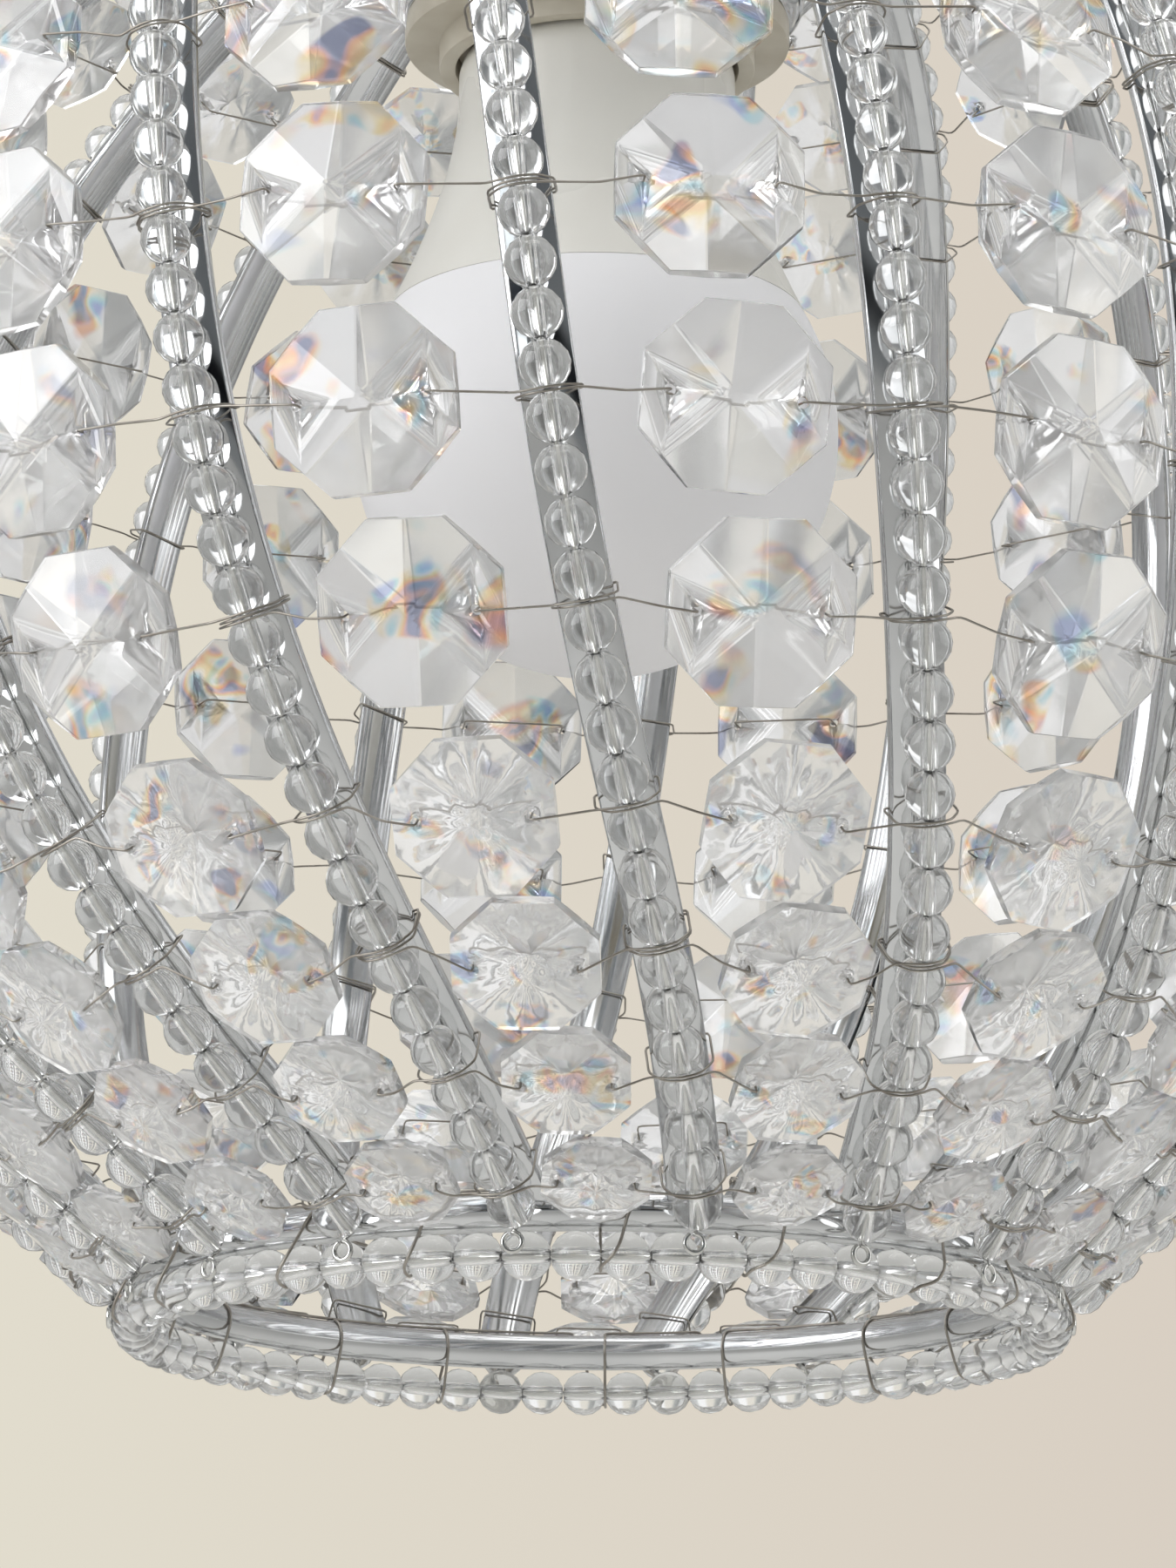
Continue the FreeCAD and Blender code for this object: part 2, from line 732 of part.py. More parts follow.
def led_board():
    """Round board with its diodes, held in the housing's mouth."""
    outline = housing_outline()
    low = outline[0][1]
    reached = low + BOARD_T + (NECK_Z - JOIN_Z) / 8.0
    radius = min(r for r, z in outline if z <= reached) - HOUSING_WALL - BOARD_FIT
    board = disc(radius, low, low + BOARD_T)
    for k in range(6):
        chip = Part.makeBox(3.0, 3.0, 1.0, V(-1.5, -1.5, low - 1.0))
        chip.translate(level_point(radius * 0.55, 60.0 * k, 0.0))
        board = board.fuse(chip)
    return largest(board.removeSplitter())


# Build.
def main():
    """Build every node of the pendant."""
    os.makedirs("parts", exist_ok=True)
    bottom = ring(0.0)
    top = ring(TOP_Z)
    write("bottom_ring", bottom)
    write("top_ring", top)
    for rib in range(RIBS):
        write("rib_strip_%02d" % (rib + 1), rib_strip(rib, [bottom, top]))

    one = bead()
    third = RIBS // 3
    for start in range(0, RIBS, third):
        beads = []
        for rib in range(start, min(start + third, RIBS)):
            beads += rib_beads(rib, one)
        write("rib_beads_%02d_%02d" % (start + 1, start + third), beads)
    write("bead_string_wires", [string_wire(rib) for rib in range(RIBS)])

    row_wires = [row_wire(0)]
    ties = [rib_tie(rib, 0) for rib in range(RIBS)]
    write("crystal_row_equator", crystal_row(0))
    for row in range(1, len(ROW_BEADS)):
        crystals = crystal_row(row)
        write("crystal_row_lower_%d" % row, crystals)
        write("crystal_row_upper_%d" % row, [to_top(c) for c in crystals])
        wire = row_wire(row)
        row_wires += [wire, to_top(wire)]
        for rib in range(RIBS):
            tie = rib_tie(rib, row)
            ties += [tie, to_top(tie)]
    write("row_wires", row_wires)
    write("rib_ties", ties)

    write("ring_beads", ring_bead_string(one))
    write("ring_bead_wire", hoop(RING_R + RING_BEADS_OUT, STRING_WIRE_D / 2.0, -RING_BEADS_DROP))
    write("ring_binding_wire", binding_wire())

    carrier = carrier_ring()
    write("carrier_ring", carrier)
    arms = []
    for k in range(ARMS):
        between = 0.5 + RIBS // ARMS * k
        arms.append(carrier_arm(rib_azimuth(between, STRIP_END_DEG), [carrier, top]))
    write("carrier_arms", arms)

    write("holder_body", holder_body())
    write("shade_ring", shade_ring())
    write("socket_shell", socket_shell())
    write("socket_plate", socket_plate())
    write("centre_contact", centre_contact())
    write("terminal_screws", terminal_screws())
    write("holder_cap", holder_cap())
    write("cord_grip", cord_grip())

    write("lamp_diffuser", lamp_diffuser())
    write("lamp_housing", lamp_housing())
    write("lamp_cap_shell", lamp_cap_shell())
    write("lamp_cap_insulator", lamp_cap_insulator())
    write("lamp_tip", lamp_tip())
    write("led_board", led_board())


main()
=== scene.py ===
"""Looks of the crystal globe pendant light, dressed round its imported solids.

Shapes are worked out in millimetres, with heights from the middle of the bottom
ring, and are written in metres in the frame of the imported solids.
"""

import logging
import math
import random
from dataclasses import dataclass, field
from enum import Enum

import bmesh
import bpy
from mathutils import Matrix, Quaternion, Vector


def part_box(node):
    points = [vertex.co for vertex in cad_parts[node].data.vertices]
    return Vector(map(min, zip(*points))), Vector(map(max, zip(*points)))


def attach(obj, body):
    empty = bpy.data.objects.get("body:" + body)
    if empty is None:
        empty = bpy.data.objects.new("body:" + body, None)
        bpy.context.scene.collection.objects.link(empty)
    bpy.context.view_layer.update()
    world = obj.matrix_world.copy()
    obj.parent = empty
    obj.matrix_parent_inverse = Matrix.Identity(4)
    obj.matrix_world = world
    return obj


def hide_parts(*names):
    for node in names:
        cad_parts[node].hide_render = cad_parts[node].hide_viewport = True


log = logging.getLogger("pendant")
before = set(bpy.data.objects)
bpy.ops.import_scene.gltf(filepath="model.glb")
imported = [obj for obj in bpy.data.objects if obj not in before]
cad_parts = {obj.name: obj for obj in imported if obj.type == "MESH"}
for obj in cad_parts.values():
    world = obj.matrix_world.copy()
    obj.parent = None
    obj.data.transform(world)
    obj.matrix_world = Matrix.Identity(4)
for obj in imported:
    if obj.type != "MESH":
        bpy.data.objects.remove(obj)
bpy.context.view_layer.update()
MM = 0.001
UP = Vector((0.0, 0.0, 1.0))


class Body(Enum):
    """Bodies of the pendant that move on their own."""

    PENDANT = "pendant"
    LAMP = "lamp"
    SHADE_RING = "shade_ring"


class Pattern(Enum):
    """How a surface was made, which sets its fine relief."""

    PLAIN = "plain"
    DRAWN = "drawn"
    MOULDED = "moulded"
    PRESSED = "pressed"


def linear(colour: str) -> tuple[float, float, float, float]:
    """Turns an sRGB hex colour to the linear values that a shader takes.

    Args:
        colour: Colour such as "#c8ccd2".

    Returns:
        Red, green, blue and an alpha of 1.
    """
    parts = [int(colour[k:k + 2], 16) / 255.0 for k in (1, 3, 5)]
    turned = [c / 12.92 if c <= 0.04045 else ((c + 0.055) / 1.055) ** 2.4 for c in parts]
    return (turned[0], turned[1], turned[2], 1.0)


def per_mm(size: float) -> float:
    """Scale that makes a pattern's grains `size` millimetres on object coordinates."""
    return 1.0 / (size * MM)


def add_node(tree: bpy.types.NodeTree, kind: str, settings: dict | None = None,
             feeds: dict | None = None) -> bpy.types.Node:
    """Adds one node with its settings, values and links.

    Args:
        tree: Node tree that the node goes into.
        kind: Blender's name of the node type.
        settings: Properties of the node.
        feeds: Input name or number to a value, or to the output that feeds it.

    Returns:
        The new node.
    """
    node = tree.nodes.new(kind)
    for name, value in (settings or {}).items():
        setattr(node, name, value)
    for name, value in (feeds or {}).items():
        if isinstance(value, bpy.types.NodeSocket):
            tree.links.new(value, node.inputs[name])
        else:
            node.inputs[name].default_value = value
    return node


def ramp(tree: bpy.types.NodeTree, factor: bpy.types.NodeSocket,
         stops: list[tuple[float, str]]) -> bpy.types.NodeSocket:
    """Colour ramp fed by a factor.

    Args:
        tree: Node tree.
        factor: Output that runs along the ramp.
        stops: Places from 0 to 1 with their hex colours.

    Returns:
        The ramp's colour output.
    """
    node = add_node(tree, "ShaderNodeValToRGB", feeds={"Fac": factor})
    line = node.color_ramp.elements
    while len(line) < len(stops):
        line.new(0.5)
    for element, (place, colour) in zip(line, stops):
        element.position = place
        element.color = linear(colour)
    return node.outputs["Color"]


# Finishes.
@dataclass(frozen=True)
class Finish:
    """Surface of one real material, as a procedural shader."""

    name: str
    colour: str
    worn: str
    roughness: tuple[float, float]
    metallic: float = 0.0
    ior: float = 1.5
    clear: float = 0.0
    coat: float = 0.0
    coat_roughness: float = 0.04
    cloud_mm: float = 9.0
    relief: float = 0.1
    pattern: Pattern = Pattern.PLAIN

    def material(self) -> bpy.types.Material:
        """The finish as a Blender material, made once."""
        ready = bpy.data.materials.get(self.name)
        if ready is not None:
            return ready
        made = bpy.data.materials.new(self.name)
        made.use_nodes = True
        tree = made.node_tree
        tree.nodes.clear()
        place = add_node(tree, "ShaderNodeTexCoord").outputs["Object"]
        cloud = add_node(tree, "ShaderNodeTexNoise", {"noise_dimensions": "3D"},
                         {"Vector": place, "Scale": per_mm(self.cloud_mm), "Detail": 3.0})
        gloss = add_node(tree, "ShaderNodeMapRange", feeds={
            "Value": cloud.outputs["Fac"], "From Min": 0.3, "From Max": 0.7,
            "To Min": self.roughness[0], "To Max": self.roughness[1]})
        shader = add_node(tree, "ShaderNodeBsdfPrincipled", feeds={
            "Base Color": self.tone(tree, place, cloud.outputs["Fac"]),
            "Roughness": gloss.outputs["Result"], "Metallic": self.metallic,
            "IOR": self.ior, "Transmission Weight": self.clear, "Coat Weight": self.coat,
            "Coat Roughness": self.coat_roughness, "Normal": self.grain(tree, place)})
        self.finish_shader(shader)
        add_node(tree, "ShaderNodeOutputMaterial", feeds={"Surface": shader.outputs["BSDF"]})
        return made

    def tone(self, tree: bpy.types.NodeTree, place: bpy.types.NodeSocket,
             cloud: bpy.types.NodeSocket) -> bpy.types.NodeSocket:
        """Base colour, from the clean colour to the worn one in soft clouds."""
        return ramp(tree, cloud, [(0.35, self.colour), (0.75, self.worn)])

    def grain(self, tree: bpy.types.NodeTree,
              place: bpy.types.NodeSocket) -> bpy.types.NodeSocket:
        """Fine relief left by the way the surface was made.

        Args:
            tree: Node tree of the material.
            place: Object coordinates.

        Returns:
            The bumped normal.
        """
        size, stretch, depth = {
            Pattern.PLAIN: (2.5, (1.0, 1.0, 1.0), 0.02),
            Pattern.DRAWN: (0.5, (1.0, 1.0, 0.06), 0.02),
            Pattern.MOULDED: (0.6, (1.0, 1.0, 1.0), 0.02),
            Pattern.PRESSED: (1.6, (1.0, 1.0, 1.0), 0.05),
        }[self.pattern]
        turned = add_node(tree, "ShaderNodeMapping", feeds={"Vector": place, "Scale": stretch})
        noise = add_node(tree, "ShaderNodeTexNoise", {"noise_dimensions": "3D"},
                         {"Vector": turned.outputs["Vector"], "Scale": per_mm(size),
                          "Detail": 2.0})
        bump = add_node(tree, "ShaderNodeBump", feeds={
            "Height": noise.outputs["Fac"], "Distance": depth * MM, "Strength": self.relief})
        return bump.outputs["Normal"]

    def finish_shader(self, shader: bpy.types.Node) -> None:
        """Sets what only some finishes need on the shader's own sockets."""


@dataclass(frozen=True)
class CutGlass(Finish):
    """Cut glass: milky light in the facets, with small painted patches of spectrum colours in
    its base colour, standing in for dispersion.
    """

    painted_fire: float = 0.8
    patch_mm: float = 5.0
    patch_bend: float = 0.3
    band_share: float = 0.8
    band_bend: float = 1.2
    rare: float = 0.6
    soft: float = 0.05
    spread: float = 91.0

    def tone(self, tree: bpy.types.NodeTree, place: bpy.types.NodeSocket,
             cloud: bpy.types.NodeSocket) -> bpy.types.NodeSocket:
        """Pale glass with a few painted patches of spectrum colours, standing in for
        dispersion, other ones on each crystal.
        """
        cut = add_node(tree, "ShaderNodeAttribute", {"attribute_name": "cut"})
        own = add_node(tree, "ShaderNodeAttribute", {"attribute_name": "tint"})
        shift = add_node(tree, "ShaderNodeMath", {"operation": "MULTIPLY"},
                         {0: own.outputs["Fac"], 1: self.spread})
        patches, bands = [add_node(tree, "ShaderNodeTexNoise", {"noise_dimensions": "4D"}, {
            "Vector": cut.outputs["Vector"], "W": shift.outputs["Value"],
            "Scale": 1.0 / size, "Detail": 0.5, "Distortion": bent})
            for size, bent in ((self.patch_mm, self.patch_bend),
                               (self.patch_mm * self.band_share, self.band_bend))]
        # Painted dispersion: a mask of rare patches where spectrum colours are painted into the
        # glass's base colour.
        where = add_node(tree, "ShaderNodeMapRange", feeds={
            "Value": patches.outputs["Fac"], "From Min": self.rare,
            "From Max": self.rare + self.soft, "To Max": self.painted_fire})
        split = ramp(tree, bands.outputs["Fac"], [
            (0.32, "#8fa8ee"), (0.4, "#9fe4f6"), (0.47, "#fff8ea"), (0.53, "#ffe08a"),
            (0.59, "#ff9c48"), (0.63, "#c98a9a"), (0.67, "#4a5f9e")])
        mixed = add_node(tree, "ShaderNodeMix", {"data_type": "RGBA"}, {
            "Factor": where.outputs["Result"], 6: linear(self.colour), 7: split})
        return mixed.outputs[2]


CHROME = Finish("chrome_plated_steel", "#d4d5d6", "#c4c6c8", (0.06, 0.15), metallic=1.0,
                cloud_mm=9.0, relief=0.03, pattern=Pattern.DRAWN)
# Bright plate over drawn steel: hard reflections, clouded where it was handled.
BEAD_GLASS = Finish("pressed_clear_glass", "#ffffff", "#f8f9f8", (0.0, 0.04), ior=1.5,
                    clear=0.95, cloud_mm=3.0, relief=0.3, pattern=Pattern.PRESSED)
# Clear pressed glass: the beads' skin is a little wavy and their bores show.
CRYSTAL_GLASS = CutGlass("cut_crystal_glass", "#fdfdfd", "#f2f3f7", (0.05, 0.1), ior=1.5,
                         clear=0.8, coat=1.0, cloud_mm=6.0, relief=0.04, patch_mm=6.0)
# Cut and polished crystal: flat facets, milky with light, with painted fringes of spectrum
# colour standing in for dispersion.
MOULDED_CRYSTAL = CutGlass("moulded_crystal_glass", "#fefefe", "#eef0f3", (0.03, 0.08),
                           ior=1.5, clear=0.8, coat=1.0, cloud_mm=4.0, relief=0.3,
                           pattern=Pattern.PRESSED, painted_fire=0.7, patch_mm=3.5, rare=0.63)
# Smaller crystals are moulded: softer folds and weaker painted spectrum colours.
WIRE = Finish("thin_steel_wire", "#aba69e", "#8b847b", (0.25, 0.45), metallic=1.0,
              cloud_mm=3.0, relief=0.2)
# Bare binding wire, dull grey-brown.
STRING_WIRE = Finish("bright_steel_wire", "#dcdcd9", "#c3c2be", (0.12, 0.25), metallic=1.0,
                     cloud_mm=3.0, relief=0.1)
# Smooth wire in the bores, painted paler than bare steel to stand in for the light the glass
# round it makes it show.
OPAL = Finish("opal_polycarbonate", "#fbfbfd", "#f6f6f8", (0.4, 0.5), ior=1.4,
              cloud_mm=14.0, relief=0.05, pattern=Pattern.MOULDED)
# Milky diffuser with a satin skin, evenly grey-white when it isn't lit.
WHITE_PLASTIC = Finish("white_moulded_polyester", "#eeede6", "#e6e4dc", (0.22, 0.32),
                       cloud_mm=18.0, relief=0.1, pattern=Pattern.MOULDED)
# Glossy white housing of the lamp.
CREAM_PLASTIC = Finish("cream_moulded_thermoset", "#d3cdbd", "#c4bcab", (0.3, 0.5),
                       cloud_mm=6.0, relief=0.3, pattern=Pattern.MOULDED)
# Lamp holder's plastic, warm and slightly dusty.
BRASS = Finish("stamped_brass", "#c9a45c", "#a8823f", (0.22, 0.4), metallic=1.0,
               cloud_mm=4.0, relief=0.2, pattern=Pattern.DRAWN)
# Bare brass of contacts and socket, warm and a little tarnished.
NICKEL = Finish("nickel_plated_brass", "#c6c2b8", "#aaa59a", (0.15, 0.3), metallic=1.0,
                cloud_mm=4.0, relief=0.2, pattern=Pattern.DRAWN)
# Thin plate on the lamp's cap, warmer and duller than the chrome.
BLACK_PLASTIC = Finish("black_moulded_plastic", "#26262a", "#303034", (0.35, 0.5),
                       cloud_mm=4.0, relief=0.2, pattern=Pattern.MOULDED)
# Insulator under the lamp's tip, a satin black.
SOCKET_PLASTIC = Finish("socket_ceramic", "#e4e0d6", "#d4cfc2", (0.3, 0.45),
                        cloud_mm=5.0, relief=0.2, pattern=Pattern.MOULDED)
# Plate that carries the contacts, pale and faintly grainy.
BOARD = Finish("white_circuit_board", "#e9ece8", "#d7dcd6", (0.4, 0.5), cloud_mm=2.0,
               relief=0.2)
# Solder mask on the lamp's board, an even cool white.


# Meshes.
@dataclass
class Bench:
    """Where meshes become pieces of the object, with a log line for each."""

    ring_height: float
    made: int = 0

    def mesh(self, name: str, points: list[Vector], faces: list[tuple[int, ...]],
             sharp: float = 35.0, turn: bool = True) -> bpy.types.Object:
        """Makes a smooth mesh object from millimetre points.

        Args:
            name: Name of the object.
            points: Points in millimetres, heights from the bottom ring.
            faces: Faces as point numbers.
            sharp: Edges that turn more than this many degrees stay sharp.
            turn: Whether the faces are turned outwards, on a closed shell.

        Returns:
            The new object, at the origin.
        """
        data = bpy.data.meshes.new(name)
        data.from_pydata([self.place(p) for p in points], [], faces)
        if turn:
            shell = bmesh.new()
            shell.from_mesh(data)
            bmesh.ops.remove_doubles(shell, verts=shell.verts, dist=1e-7)
            bmesh.ops.recalc_face_normals(shell, faces=shell.faces)
            shell.to_mesh(data)
            shell.free()
        data.shade_smooth()
        data.set_sharp_from_angle(angle=math.radians(sharp))
        made = bpy.data.objects.new(name, data)
        bpy.context.scene.collection.objects.link(made)
        return made

    def place(self, point: Vector) -> tuple[float, float, float]:
        """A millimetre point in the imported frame, in metres."""
        return (point.x * MM, point.y * MM, point.z * MM + self.ring_height)

    def lines(self, name: str, runs: list[list[Vector]], closed: bool) -> bpy.types.Object:
        """Makes a mesh of bare edges for wires to follow."""
        points, edges = [], []
        for run in runs:
            first = len(points)
            points += [self.place(p) for p in run]
            edges += [(first + k, first + k + 1) for k in range(len(run) - 1)]
            if closed:
                edges.append((first + len(run) - 1, first))
        data = bpy.data.meshes.new(name)
        data.from_pydata(points, edges, [])
        made = bpy.data.objects.new(name, data)
        bpy.context.scene.collection.objects.link(made)
        return made

    def places(self, name: str, spots: list[tuple[Vector, Quaternion]]) -> bpy.types.Object:
        """Makes a mesh of bare points, each with the turn of what stands on it."""
        data = bpy.data.meshes.new(name)
        data.from_pydata([self.place(p) for p, _ in spots], [], [])
        turns = data.attributes.new("turn", "QUATERNION", "POINT")
        turns.data.foreach_set("value", [c for _, q in spots for c in q])
        made = bpy.data.objects.new(name, data)
        bpy.context.scene.collection.objects.link(made)
        return made

    def dress(self, piece: bpy.types.Object, finish: Finish, body: Body, slot: str,
              *nodes: str) -> bpy.types.Object:
        """Gives a finished piece its material and body, and hides the nodes it stands for.

        Args:
            piece: The piece, its mesh final.
            finish: Its surface.
            body: The body that it moves with.
            slot: Not used.
            *nodes: Nodes that the piece stands for.

        Returns:
            The piece.
        """
        piece.data.materials.clear()
        piece.data.materials.append(finish.material())
        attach(piece, body.value)
        if nodes:
            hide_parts(*nodes)
        self.made += 1
        log.info("piece %d: %s, %d faces", self.made, piece.name, len(piece.data.polygons))
        return piece

    def dress_node(self, node: str, finish: Finish, slot: str) -> None:
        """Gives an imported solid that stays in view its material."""
        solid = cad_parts[node]
        solid.data.materials.clear()
        solid.data.materials.append(finish.material())
        log.info("solid: %s", node)


def rounded(points: list[Vector], reach: float, steps: int = 3,
            closed: bool = False) -> list[Vector]:
    """Rounds the corners of a line of points.

    Args:
        points: Corners of the line.
        reach: Longest stretch that a rounding takes of each side.
        steps: Pieces in each rounding.
        closed: Whether the last point joins the first.

    Returns:
        The rounded line.
    """
    line = []
    count = len(points)
    for k, corner in enumerate(points):
        if not closed and k in (0, count - 1):
            line.append(corner.copy())
            continue
        before = points[k - 1] - corner
        after = points[(k + 1) % count] - corner
        start = corner + before * min(0.49, reach / before.length)
        end = corner + after * min(0.49, reach / after.length)
        for step in range(steps + 1):
            t = step / steps
            line.append(start * (1 - t) ** 2 + corner * (2 * t * (1 - t)) + end * t ** 2)
    return line


def lathe(profile: list[tuple[float, float]], segments: int, closed: bool = True,
          edge: float = 0.0) -> tuple[list[Vector], list[tuple[int, ...]]]:
    """Points and faces of a shape turned about the pendant's axis.

    Args:
        profile: Outline as (radius, height) pairs.
        segments: Faces round the axis.
        closed: Whether the outline is a loop, off the axis.
        edge: Rounding of the outline's corners.

    Returns:
        Points in millimetres, and faces.
    """
    outline = [Vector((r, 0.0, z)) for r, z in profile]
    if edge > 0:
        outline = rounded(outline, edge, 2, closed)
    points, rings = [], []
    for corner in outline:
        if corner.x < 1e-6:
            rings.append([len(points)] * segments)
            points.append(Vector((0.0, 0.0, corner.z)))
            continue
        rings.append(list(range(len(points), len(points) + segments)))
        for k in range(segments):
            a = 2 * math.pi * k / segments
            points.append(Vector((corner.x * math.cos(a), corner.x * math.sin(a), corner.z)))
    return points, skin(rings, closed)


def skin(rings: list[list[int]], closed: bool) -> list[tuple[int, ...]]:
    """Faces between loops of point numbers, one loop after another."""
    faces = []
    pairs = list(zip(rings[:-1], rings[1:]))
    if closed:
        pairs.append((rings[-1], rings[0]))
    for low, high in pairs:
        count = len(low)
        for k in range(count):
            m = (k + 1) % count
            face = tuple(dict.fromkeys((low[k], low[m], high[m], high[k])))
            if len(face) > 2:
                faces.append(face)
    return faces


def loft(sections: list[list[Vector]], closed: bool = False
         ) -> tuple[list[Vector], list[tuple[int, ...]]]:
    """Points and faces of a skin over equal loops of points, its ends capped."""
    points = [p for section in sections for p in section]
    count = len(sections[0])
    rings = [list(range(count * k, count * k + count)) for k in range(len(sections))]
    faces = skin(rings, closed)
    if not closed:
        faces += [tuple(rings[0][::-1]), tuple(rings[-1])]
    return points, faces


def torus(radius: float, rod: float, height: float, around: int, across: int
          ) -> tuple[list[Vector], list[tuple[int, ...]]]:
    """Points and faces of a round bar bent into a level ring."""
    outline = [(radius + rod * math.cos(2 * math.pi * k / across),
                height + rod * math.sin(2 * math.pi * k / across)) for k in range(across)]
    return lathe(outline, around)


# Geometry Nodes.
def group_with(name: str, inputs: list[tuple[str, str]]) -> tuple[bpy.types.NodeTree,
                                                                  bpy.types.Node]:
    """Starts a geometry tree with named inputs.

    Args:
        name: Name of the tree.
        inputs: Names and socket types.

    Returns:
        The tree and its input node.
    """
    tree = bpy.data.node_groups.new(name, "GeometryNodeTree")
    for title, kind in inputs:
        tree.interface.new_socket(title, in_out="INPUT", socket_type=kind)
    tree.interface.new_socket("Piece", in_out="OUTPUT", socket_type="NodeSocketGeometry")
    return tree, add_node(tree, "NodeGroupInput")


def scatter_tree() -> bpy.types.NodeTree:
    """Tree that stands one shape on many places, each a little smaller at random."""
    tree, given = group_with("stand_on_places", [
        ("Places", "NodeSocketGeometry"), ("Shape", "NodeSocketObject"),
        ("Smallest", "NodeSocketFloat"), ("Seed", "NodeSocketInt"),
        ("Finish", "NodeSocketMaterial")])
    shape = add_node(tree, "GeometryNodeObjectInfo", feeds={
        "Object": given.outputs["Shape"], "As Instance": True})
    turn = add_node(tree, "GeometryNodeInputNamedAttribute", {"data_type": "QUATERNION"},
                    {"Name": "turn"})
    size = add_node(tree, "FunctionNodeRandomValue", {"data_type": "FLOAT"}, {
        2: given.outputs["Smallest"], 3: 1.0, "Seed": given.outputs["Seed"]})
    tint = add_node(tree, "FunctionNodeRandomValue", {"data_type": "FLOAT"}, {
        2: 0.0, 3: 1.0, "Seed": given.outputs["Seed"]})
    stood = add_node(tree, "GeometryNodeInstanceOnPoints", feeds={
        "Points": given.outputs["Places"], "Instance": shape.outputs["Geometry"],
        "Rotation": turn.outputs["Attribute"], "Scale": size.outputs[1]})
    marked = add_node(tree, "GeometryNodeStoreNamedAttribute",
                      {"data_type": "FLOAT", "domain": "INSTANCE"},
                      {"Geometry": stood.outputs["Instances"], "Name": "tint",
                       "Value": tint.outputs[1]})
    real = add_node(tree, "GeometryNodeRealizeInstances",
                    feeds={"Geometry": marked.outputs["Geometry"]})
    clad = add_node(tree, "GeometryNodeSetMaterial", feeds={
        "Geometry": real.outputs["Geometry"], "Material": given.outputs["Finish"]})
    add_node(tree, "NodeGroupOutput", feeds={"Piece": clad.outputs["Geometry"]})
    return tree


def wire_tree() -> bpy.types.NodeTree:
    """Tree that makes round wire of a diameter along lines of edges."""
    tree, given = group_with("round_wire", [
        ("Lines", "NodeSocketGeometry"), ("Diameter", "NodeSocketFloat"),
        ("Sides", "NodeSocketInt"), ("Finish", "NodeSocketMaterial")])
    curve = add_node(tree, "GeometryNodeMeshToCurve", feeds={"Mesh": given.outputs["Lines"]})
    half = add_node(tree, "ShaderNodeMath", {"operation": "MULTIPLY"},
                    {0: given.outputs["Diameter"], 1: 0.5})
    circle = add_node(tree, "GeometryNodeCurvePrimitiveCircle", feeds={
        "Resolution": given.outputs["Sides"], "Radius": half.outputs["Value"]})
    tube = add_node(tree, "GeometryNodeCurveToMesh", feeds={
        "Curve": curve.outputs["Curve"], "Profile Curve": circle.outputs["Curve"],
        "Fill Caps": True})
    smooth = add_node(tree, "GeometryNodeSetShadeSmooth",
                      feeds={"Geometry": tube.outputs["Mesh"], "Shade Smooth": True})
    real = add_node(tree, "GeometryNodeRealizeInstances",
                    feeds={"Geometry": smooth.outputs["Geometry"]})
    clad = add_node(tree, "GeometryNodeSetMaterial", feeds={
        "Geometry": real.outputs["Geometry"], "Material": given.outputs["Finish"]})
    add_node(tree, "NodeGroupOutput", feeds={"Piece": clad.outputs["Geometry"]})
    return tree


def grown(base: bpy.types.Object, tree: bpy.types.NodeTree, values: dict) -> bpy.types.Object:
    """Runs a geometry tree on an object and keeps the result as its plain mesh.

    Args:
        base: Object that carries the places or lines.
        tree: The geometry tree.
        values: Input names and values.

    Returns:
        The same object, with the grown mesh and no modifier.
    """
    sockets = {item.name: item.identifier for item in tree.interface.items_tree
               if item.in_out == "INPUT"}
    modifier = base.modifiers.new(tree.name, "NODES")
    modifier.node_group = tree
    for name, value in values.items():
        modifier[sockets[name]] = value
    return settled(base)


def settled(base: bpy.types.Object) -> bpy.types.Object:
    """Keeps an object's modified mesh as its plain mesh."""
    graph = bpy.context.evaluated_depsgraph_get()
    data = bpy.data.meshes.new_from_object(base.evaluated_get(graph), depsgraph=graph)
    base.modifiers.clear()
    data.name = base.name
    base.data = data
    return base


